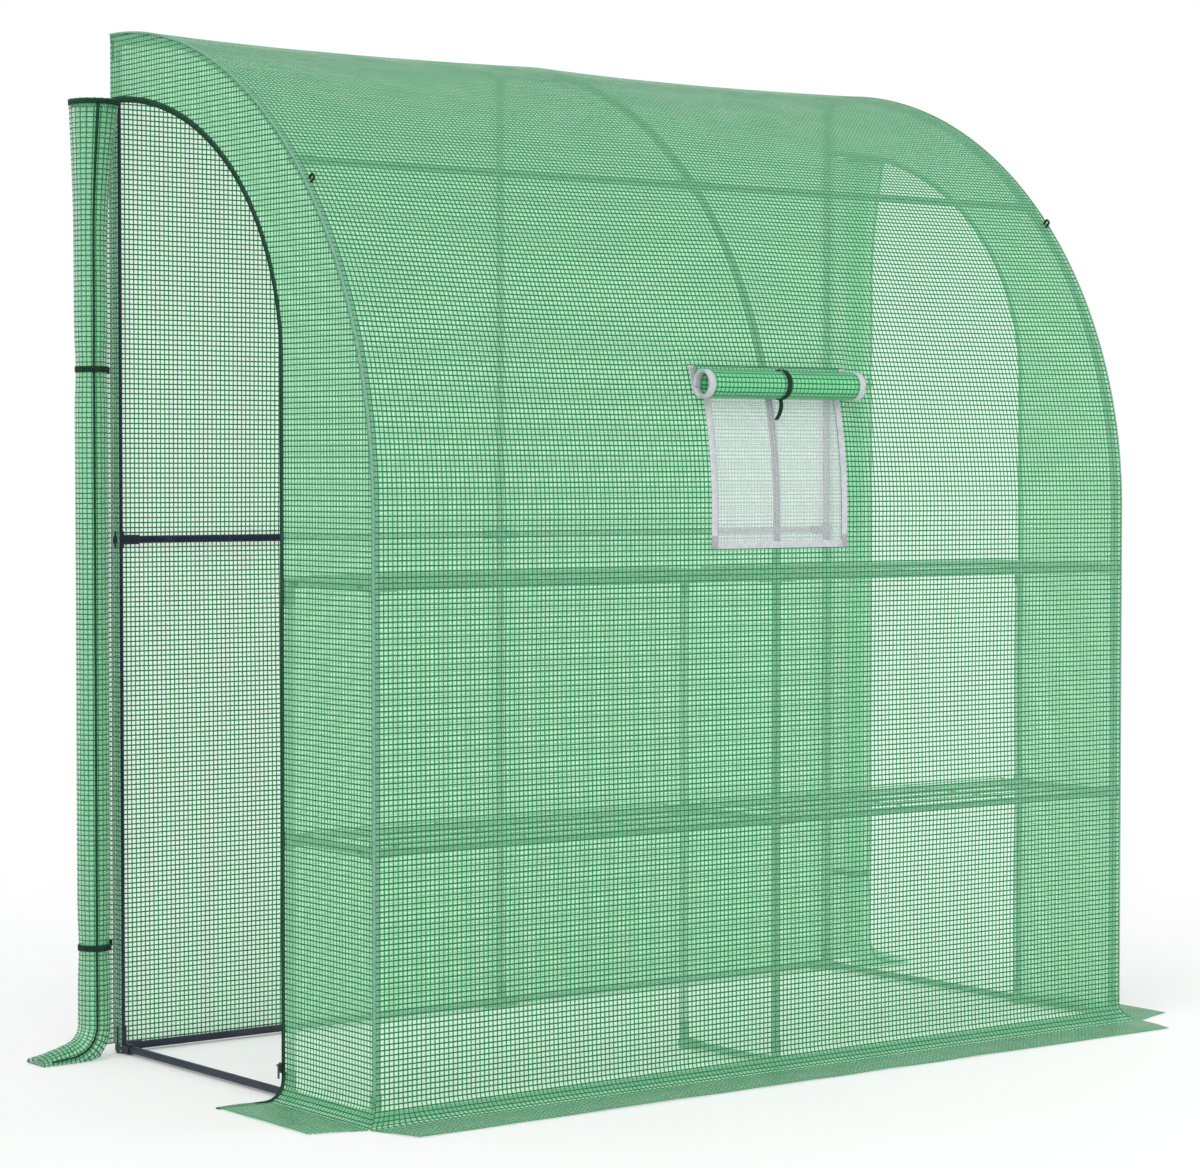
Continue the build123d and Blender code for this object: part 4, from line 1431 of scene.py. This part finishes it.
@dataclass
class RolledDoor:
    """Door film of one end, rolled sideways at the back post, with its ties and its bound head."""

    side: Side
    x: float = 1.068
    y: float = 0.535
    radius: float = 0.036
    film: float = 0.001
    cell: float = 0.03
    turns: float = 1800.0
    turn_step: float = 15.0
    step: float = 0.0015
    loose_turn: float = 90.0
    tight_turn: float = 180.0
    hold: float = 90.0
    wrap: float = 380.0
    wrap_run: float = 120.0
    core: float = 0.019
    lean: float = 0.009
    lean_x: float = 0.8
    lean_y: float = 0.6
    fold: float = 0.0013
    fold_in: float = 0.0007
    wave: float = 0.55
    wave_round: float = 2.0
    wave_long: float = 0.8
    low: float = 0.118
    top: float = 2.003
    flare: float = 0.5
    flare_length: float = 0.3
    flare_y: float = 0.572
    flare_mark: float = 0.15
    tail_bend: float = 0.072
    tail_gap: float = 0.001
    tail_tip: float = 1.208
    tail_wide: float = 1.6
    tail_flat: float = 0.62
    tail_from: float = 0.09
    tail_run: float = 0.1
    tail_marks: tuple[float, ...] = (0.0, 0.02, 0.04)
    ground: float = 0.0012
    layer: float = 0.000002
    foot_from: float = 300.0
    foot_run: float = 500.0
    edge_turn: float = 160.0
    edge_half: float = 4.0
    edge_out: float = 0.0011
    edge_t: float = 0.0009
    edge_low: float = 0.02
    head: float = 0.012
    head_gap: float = 0.001
    head_t: float = 0.0026
    head_step: float = 12.0
    hem_x: float = 1.0033
    hem_y: float = 0.571
    web_t: float = 0.0008
    web_low: float = 0.02
    web_cell: float = 0.05
    web_rest: float = 0.065
    web_mid: float = 1.0
    travel: float = 0.55
    ties_z: Pair = (0.235, 1.445)
    tie: Webbing = Webbing(low=-0.006, high=0.006, base=-0.0006, top=0.0008, corner=0.0006, drop=0.0004)
    tie_reach: float = 0.05
    tie_out: float = 0.0018
    tie_in: float = 0.004
    tie_half: float = 0.0022
    tie_turn: int = 312
    tie_step: int = 12
    pinch: float = 0.1

    @property
    def body(self) -> str:
        """Body that carries the roll."""
        return f"door_{self.side.word}"

    @property
    def end(self) -> float:
        """Length at which the turned-out tail ends, below the ground line."""
        lying = self.tail_tip - self.x - self.tail_bend
        return self.tail_gap + self.tail_bend * (1.0 - math.pi / 2) - lying

    def spiral(self, turn: float) -> Pair:
        """Radius of the roll and how far its tighter core leans.

        Args:
            turn: Degrees along the roll from the seam side.

        Returns:
            Radius, and lean toward the wall.
        """
        core = ease((turn - self.wrap) / self.wrap_run)
        loose = self.radius - self.step * max(0.0, turn - self.hold) / self.loose_turn
        tight = self.core - self.step * max(0.0, turn - self.wrap) / self.tight_turn
        return loose + (tight - loose) * core, self.lean * core

    def run(self, turn: float) -> float:
        """Length of film on the roll.

        Args:
            turn: Degrees along the roll from the seam side.

        Returns:
            Length from the start of the roll to that turn.
        """
        steps = max(1, round(turn / self.turn_step))
        radii = [self.spiral(turn * (i + 0.5) / steps)[0] for i in range(steps)]
        return sum(radii) * math.radians(turn) / steps

    def section(self, turn: float, z: float, out: float = 0.0) -> Pair:
        """Plan place of the rolled film at a height, as if at the right end.

        Args:
            turn: Degrees along the roll from the seam side.
            z: Height.
            out: Extra radius.

        Returns:
            Outward place and depth.
        """
        a = math.radians(90.0 - turn)
        c, s = math.cos(a), math.sin(a)
        r, lean = self.spiral(turn)
        near = min(1.0, sum(math.exp(-((z - tie) / self.tie_reach) ** 2) for tie in self.ties_z))
        folds = ripple(self.wave_round * c, self.wave_round * s + self.wave_long * z, self.wave)
        r *= 1.0 - self.pinch * near
        r += (1.0 - near) * (self.fold * folds - self.fold_in) + out
        x = self.x - self.lean_x * lean + r * c
        y = self.y - self.lean_y * lean + r * s
        grow = 1 + 2 * self.flare * ease((z - self.top + self.flare_length) / (2 * self.flare_length))
        return self.x + grow * (x - self.x), self.flare_y + grow * (y - self.flare_y)

    def place(self, turn: float, v: float, out: float = 0.0) -> Vector:
        """Point of the rolled film, whose foot turns out along the ground.

        Args:
            turn: Degrees along the roll.
            v: Height, below the roll's foot the length along the turned-out tail.
            out: Extra radius.

        Returns:
            Point in space.
        """
        x, y = self.section(turn, max(v, self.low), out)
        turn_z = self.tail_bend + self.tail_gap
        run = turn_z - v
        if run <= 0.0:
            return Vector((self.side.value * x, y, v))
        phi = min(math.pi / 2, run / self.tail_bend)
        rho = self.tail_bend - (x - self.x)
        lying = max(0.0, run - self.tail_bend * math.pi / 2)
        wide = 1.0 + self.tail_wide * lying
        ground = self.ground + out + self.layer * turn
        x = self.x + self.tail_bend - rho * math.cos(phi) + lying
        z = max(ground, turn_z - rho * math.sin(phi))
        z = ground + (z - ground) * (1.0 - self.tail_flat * ease((run - self.tail_from) / self.tail_run))
        return Vector((self.side.value * x, self.y + wide * (y - self.y), z))

    def foot(self, turn: float) -> float:
        """Where a layer of the roll ends: the outer wrap runs on in the tail, the core stops higher."""
        return self.end + (self.low - self.end) * ease((turn - self.foot_from) / self.foot_run)

    def rolled(self) -> None:
        """Rolled film with its turned-out foot."""
        turns = spread(0.0, self.turns, self.turn_step)
        marks = (*self.tail_marks, self.low, *self.ties_z, self.top - self.flare_mark)
        vs = spread(self.end, self.top, self.cell, marks)
        piece = cloth(f"door_film_{self.side.word}", turns, vs, self.place, lambda t, v: (self.run(t), v),
                      self.film, lambda t, v: v > self.foot(t))
        present(piece, self.body, Slot.FILM, WARDROBE.door)
        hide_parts(f"door_roll_{self.side.word}")
        self.run(self.turns)

    def free_edge(self) -> None:
        """Zip tape along the free edge of the door, which ends on the outside of the roll."""
        turns = [self.edge_turn + change for change in (-self.edge_half, 0.0, self.edge_half)]
        marks = (*self.tail_marks, self.low, *self.ties_z)
        vs = spread(self.end + self.edge_low, self.top - self.head, self.cell, marks)
        piece = cloth(f"door_zip_{self.side.word}", turns, vs, lambda t, v: self.place(t, v, self.edge_out),
                      lambda t, v: (self.radius * math.radians(t), v), self.edge_t)
        present(piece, self.body, Slot.BINDING, WARDROBE.binding)

    def web_place(self, t: float, z: float) -> Vector:
        """Point of the film between the hem and the roll.

        Args:
            t: 0 at the hem and 1 at the roll.
            z: Height.

        Returns:
            Point in space.
        """
        x, y = self.section(0.0, z)
        along = self.hem_x + (x - self.hem_x) * t
        return Vector((self.side.value * along, self.hem_y + (y - self.hem_y) * t, z))

    def web(self) -> None:
        """Film between the hem and the roll, which grows as the door is drawn across."""
        ts = spread(0.0, 1.0, self.web_cell)
        zs = spread(self.web_low, self.top, self.cell, self.ties_z)
        piece = cloth(f"door_web_{self.side.word}", ts, zs, self.web_place,
                      lambda t, z: ((self.travel + self.web_rest) * ease(t), z), self.web_t)
        stretch(piece, self.body, Slot.FILM, WARDROBE.film)

    def bound_head(self) -> None:
        """Dark binding on the upper edge of the roll."""
        turns = spread(0.0, self.turns, self.head_step)
        vs = [self.top - below for below in (self.head, self.head / 2, self.head_gap)]
        piece = cloth(f"door_binding_{self.side.word}", turns, vs, self.place,
                      lambda t, v: (v - self.top + self.head, self.run(t)), self.head_t)
        present(piece, self.body, Slot.BINDING, WARDROBE.binding)

    def bind(self, z: float, name: str) -> Object:
        """Webbing tie drawn round the roll and its web.

        Args:
            z: Height of its middle.
            name: Piece name.

        Returns:
            The tie.
        """
        sign = self.side.value
        up = Vector((0.0, 0.0, 1.0))
        grown = self.radius * (1.0 - self.pinch) + self.tie_out
        spots = [(self.hem_x + self.tie_in, self.hem_y + self.tie_half)]
        for turn in range(0, self.tie_turn + 1, self.tie_step):
            a = math.radians(90.0 - turn)
            spots.append((self.x + grown * math.cos(a), self.y + grown * math.sin(a)))
        spots.append((self.hem_x + self.tie_in, self.hem_y - self.tie_half))
        stations = []
        for i, (x, y) in enumerate(spots):
            before, after = spots[max(0, i - 1)], spots[min(len(spots) - 1, i + 1)]
            along = Vector((after[0] - before[0], after[1] - before[1])).normalized()
            stations.append((Vector((sign * x, y, z)), up, Vector((-sign * along.y, along.x, 0.0))))
        return present(sweep(name, stations, self.tie.outline()), self.body, Slot.STRAP, WARDROBE.strap)

    def build(self) -> None:
        """Makes the roll, the web, the head's binding, the free edge and the ties."""
        self.rolled()
        self.web()
        self.bound_head()
        self.free_edge()
        names = [f"door_tie_{level}_{self.side.word}" for level in ("low", "high")]
        ties = [self.bind(z, name) for z, name in zip(self.ties_z, names)]
        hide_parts(f"door_ties_{self.side.word}")


@dataclass
class WindowFlap:
    """Film flap of the window, rolled up above it, with fastening tape at its ends and one strap."""

    body: str = "window_flap"
    y: float = -0.424744
    z: float = 1.41
    radius: float = 0.0294
    step: float = 0.0008
    turns: float = 720.0
    turn_step: float = 12.0
    half: float = 0.209
    cell: float = 0.02
    film: float = 0.0008
    fold: float = 0.0009
    wave: float = 0.05
    wave_turn: float = 0.001
    end_free: float = 0.06
    strap_free: float = 0.05
    tape: float = 0.015
    tape_t: float = 0.0022
    tape_cell: float = 0.005
    seam_angle: float = 17.157
    seam_out: float = 0.003
    lead_cell: float = 0.04
    lead_rest: float = 0.04
    travel: float = 16.8
    webbing: Webbing = Webbing(low=-0.006, high=0.006, base=-0.0004, top=0.0008, corner=0.0012, drop=0.0004)
    strap_out: float = 0.0014
    strap_step: int = 8
    tail: float = 0.042
    tail_out: float = 0.0012
    tail_steps: int = 14
    tail_sway: float = 0.012
    tail_bow: float = 0.004
    tail_turn: float = 0.3
    tail_narrow: float = 0.7

    @property
    def inner(self) -> float:
        """Half width of the film between its end tapes."""
        return self.half - self.tape

    @property
    def centre(self) -> Vector:
        """Middle of the roll in side view."""
        return Vector((self.y, self.z))

    @property
    def seam(self) -> Vector:
        """Sewn upper edge in side view."""
        a, r = math.radians(self.seam_angle), SHELL.end_x + self.seam_out
        return Vector((SHELL.back_y - r * math.cos(a), SHELL.wall + r * math.sin(a)))

    @property
    def start_angle(self) -> float:
        """Angle on the roll where the film leaves it toward the seam, in radians."""
        to_seam = self.seam - self.centre
        return math.atan2(to_seam.y, to_seam.x) - math.acos(self.radius / to_seam.length)

    def run(self, turn: float) -> float:
        """Length of film from the start of the roll to a turn."""
        return math.radians(turn) * (self.radius - self.step * turn / 180.0)

    def rolled(self, turn: float, out: float = 0.0) -> Vector:
        """Side view place on the roll.

        Args:
            turn: Degrees along the roll from where it leaves the wall.
            out: Extra radius.

        Returns:
            Place as (depth, height).
        """
        a = self.start_angle - math.radians(turn)
        r = self.radius + out - self.step * turn / 90.0
        return Vector((self.y + r * math.cos(a), self.z + r * math.sin(a)))

    def place(self, x: float, turn: float) -> Vector:
        """Point of the rolled film with the small unevenness of soft film.

        Args:
            x: Place along the roll.
            turn: Degrees along the roll.

        Returns:
            Point in space.
        """
        free = ease((self.half - abs(x)) / self.end_free) * ease(abs(x) / self.strap_free)
        at = self.rolled(turn, free * self.fold * ripple(x, self.wave_turn * turn, self.wave))
        return Vector((x, at.x, at.y))

    def roll(self) -> None:
        """Rolled film and its two end tapes."""
        turns = spread(0.0, self.turns, self.turn_step)
        xs = spread(-self.inner, self.inner, self.cell)
        piece = cloth("flap_film", xs, turns, self.place, lambda x, t: (x, self.run(t)), self.film)
        present(piece, self.body, Slot.FLAP, WARDROBE.flap)
        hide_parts("window_roll")
        self.run(self.turns)
        for side in Side:
            ends = sorted((side.value * self.inner, side.value * self.half))
            tape = cloth(f"flap_tape_{side.word}", spread(*ends, self.tape_cell), turns, self.place,
                         lambda x, t: (abs(x) - self.inner, math.radians(t) * self.radius), self.tape_t)
            present(tape, self.body, Slot.HOOK, WARDROBE.hook)

    def lead_place(self, x: float, t: float) -> Vector:
        """Point between the sewn edge and the roll, 0 at the edge and 1 at the roll."""
        at = self.seam.lerp(self.rolled(0.0), t)
        return Vector((x, at.x, at.y))

    def lead_strip(self, name: str, ends: Pair, thick: float, slot: Slot, material: Material,
                   edge: float = 0.0) -> Object:
        """Strip of the lead, which follows the wall as the flap comes down.

        Args:
            name: Piece name.
            ends: Places along the roll where it starts and ends.
            thick: Thickness.
            slot: Record slot of its finish.
            material: Its material.
            edge: Place along the roll from which its flat pattern is measured.

        Returns:
            The strip.
        """
        seam, first = self.seam, self.rolled(0.0)
        length = SHELL.end_x * math.radians(self.travel) + self.lead_rest
        strip = cloth(name, spread(*ends, self.cell), spread(0.0, 1.0, self.lead_cell), self.lead_place,
                      lambda x, t: (x - edge, length * ease(t)), thick)
        stretch(strip, self.body, slot, material)
        return strip

    def lead(self) -> None:
        """Film and fastening tapes between the sewn edge and the roll."""
        inner, half = self.inner, self.half
        piece = self.lead_strip("flap_lead", (-inner, inner), self.film, Slot.FLAP, WARDROBE.flap)
        (self.seam - self.rolled(0.0)).length
        for side, ends in ((Side.LEFT, (-half, -inner)), (Side.RIGHT, (inner, half))):
            name = f"flap_lead_tape_{side.word}"
            self.lead_strip(name, ends, self.tape_t, Slot.HOOK, WARDROBE.hook, ends[0])

    def strap(self) -> None:
        """Strap round the middle of the roll."""
        across = Vector((1.0, 0.0, 0.0))
        spots = [self.rolled(turn, self.strap_out + self.step * turn / 90.0)
                 for turn in range(self.strap_step, 360, self.strap_step)]
        stations = []
        for i, at in enumerate(spots):
            along = spots[min(i + 1, len(spots) - 1)] - spots[max(i - 1, 0)]
            normal = Vector((0.0, along.y, -along.x)).normalized()
            if (at - self.centre).dot(Vector((normal.y, normal.z))) < 0:
                normal = -normal
            stations.append((Vector((0.0, at.x, at.y)), across, normal))
        ring = sweep("flap_strap", stations, self.webbing.outline())
        present(ring, self.body, Slot.STRAP, WARDROBE.strap)
        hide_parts("window_strap")

    def strap_tail(self) -> None:
        """Tail of the strap, which hangs below the roll and turns a little."""
        foot = self.z - self.radius - self.tail_out
        stations = []
        for i in range(self.tail_steps + 1):
            t = i / self.tail_steps
            turn = self.tail_turn + self.tail_turn * t
            c, s = math.cos(turn), math.sin(turn)
            bow = self.y - self.tail_bow * math.sin(math.pi * t)
            point = Vector((-self.tail_sway * t * t, bow, foot - self.tail * t))
            stations.append((point, Vector((c, -s, 0.0)), Vector((-s, -c, 0.0))))
        hanging = sweep("flap_strap_tail", stations, self.webbing.outline(self.tail_narrow))
        present(hanging, self.body, Slot.STRAP, WARDROBE.strap)

    def build(self) -> None:
        """Makes the roll, the lead and the strap."""
        self.roll()
        self.lead()
        self.strap()
        self.strap_tail()


@dataclass
class Studio:
    """Pale floor, soft light and the camera at the photograph's angle."""

    camera_at: Triple = (-4.4527, -5.6621, 1.2355)
    tilt: float = 1.9576
    heading: float = -37.2804
    lens: float = 100.25
    sensor: float = 36.0
    sight: float = 500.0
    floor_half: float = 60.0
    floor_z: float = -0.0004
    floor_tones: tuple[Colour, Colour] = ((0.93, 0.93, 0.93), (0.95, 0.95, 0.95))
    floor_grain: float = 3.0
    floor_rough: float = 0.9
    floor_shine: float = 0.1
    sky: float = 0.75
    sun: float = 1.75
    sun_toward: Triple = (0.85, 0.58, -0.72)
    sun_spread: float = 70.0
    strip_at: Triple = (3.6, -3.3, 1.4)
    strip_aim: Triple = (0.75, -0.4, 1.2)
    strip_size: Pair = (0.5, 3.6)
    strip_watts: float = 40.0
    film_layers: int = 64

    def camera(self) -> None:
        """Camera fitted to the photograph."""
        data = bpy.data.cameras.new("camera")
        data.lens = self.lens
        data.sensor_width = self.sensor
        data.clip_end = self.sight
        view = link(bpy.data.objects.new("camera", data))
        view.location = self.camera_at
        view.rotation_euler = (math.radians(90.0 - self.tilt), 0.0, math.radians(self.heading))
        bpy.context.scene.camera = view

    def lamp(self, name: str, kind: str, at: Triple, toward: Vector, **settings: object) -> None:
        """Soft lamp.

        Args:
            name: Lamp name.
            kind: Lamp type.
            at: Its place.
            toward: Direction in which it shines.
            settings: Its properties.
        """
        data = bpy.data.lights.new(name, kind)
        for key, value in settings.items():
            setattr(data, key, value)
        lamp = link(bpy.data.objects.new(name, data))
        lamp.location = at
        lamp.rotation_euler = toward.to_track_quat("-Z", "Y").to_euler()

    def lamps(self) -> None:
        """Broad even light from the front left, high up, and a tall strip at the right end."""
        self.lamp("key", "SUN", (0.0, 0.0, 0.0), Vector(self.sun_toward), energy=self.sun,
                  angle=math.radians(self.sun_spread))
        width, height = self.strip_size
        self.lamp("strip", "AREA", self.strip_at, Vector(self.strip_aim) - Vector(self.strip_at),
                  shape="RECTANGLE", size=width, size_y=height, energy=self.strip_watts)

    def floor(self) -> None:
        """Pale floor that keeps the shadow."""
        h = self.floor_half
        corners = [Vector((x, y, self.floor_z)) for x, y in ((-h, -h), (h, -h), (h, h), (-h, h))]
        piece = new_object("floor", corners, [[0, 1, 2, 3]], [(c.x, c.y) for c in corners])
        material, w = start_material("floor")
        tone = w.grain(w.solid_place(), self.floor_grain)
        w.surface({"Base Color": w.blend(tone, *self.floor_tones), "Roughness": self.floor_rough,
                   "Specular IOR Level": self.floor_shine})
        dress(piece, material)

    def world(self) -> None:
        """Even sky that the camera sees as white."""
        world = bpy.data.worlds.new("studio")
        bpy.context.scene.world = world
        world.use_nodes = True
        w = Wiring(world.node_tree)
        ray = w.node("ShaderNodeLightPath").outputs
        mirrored = w.math("MAXIMUM", ray["Is Glossy Ray"], ray["Is Transmission Ray"])
        seen = w.math("MAXIMUM", ray["Is Camera Ray"], mirrored)
        w.surface({"Color": (1.0, 1.0, 1.0), "Strength": w.ramp(seen, (0.0, 1.0), (self.sky, 1.0))},
                  "ShaderNodeBackground", "ShaderNodeOutputWorld")

    def build(self) -> None:
        """Makes camera, floor, world and lamps."""
        scene = bpy.context.scene
        scene.view_settings.view_transform = "Standard"
        scene.cycles.transparent_max_bounces = self.film_layers
        self.camera()
        self.floor()
        self.world()
        self.lamps()


def main() -> None:
    """Builds every sub-assembly in order."""
    logging.basicConfig(level=logging.INFO, format="%(message)s")
    Studio().build()
    Skeleton().build()
    FrontCover().build()
    BackCover().build()
    for side in Side:
        EndCover(side).build()
        RolledDoor(side).build()
    WindowFlap().build()


if __name__ == "__main__":
    main()
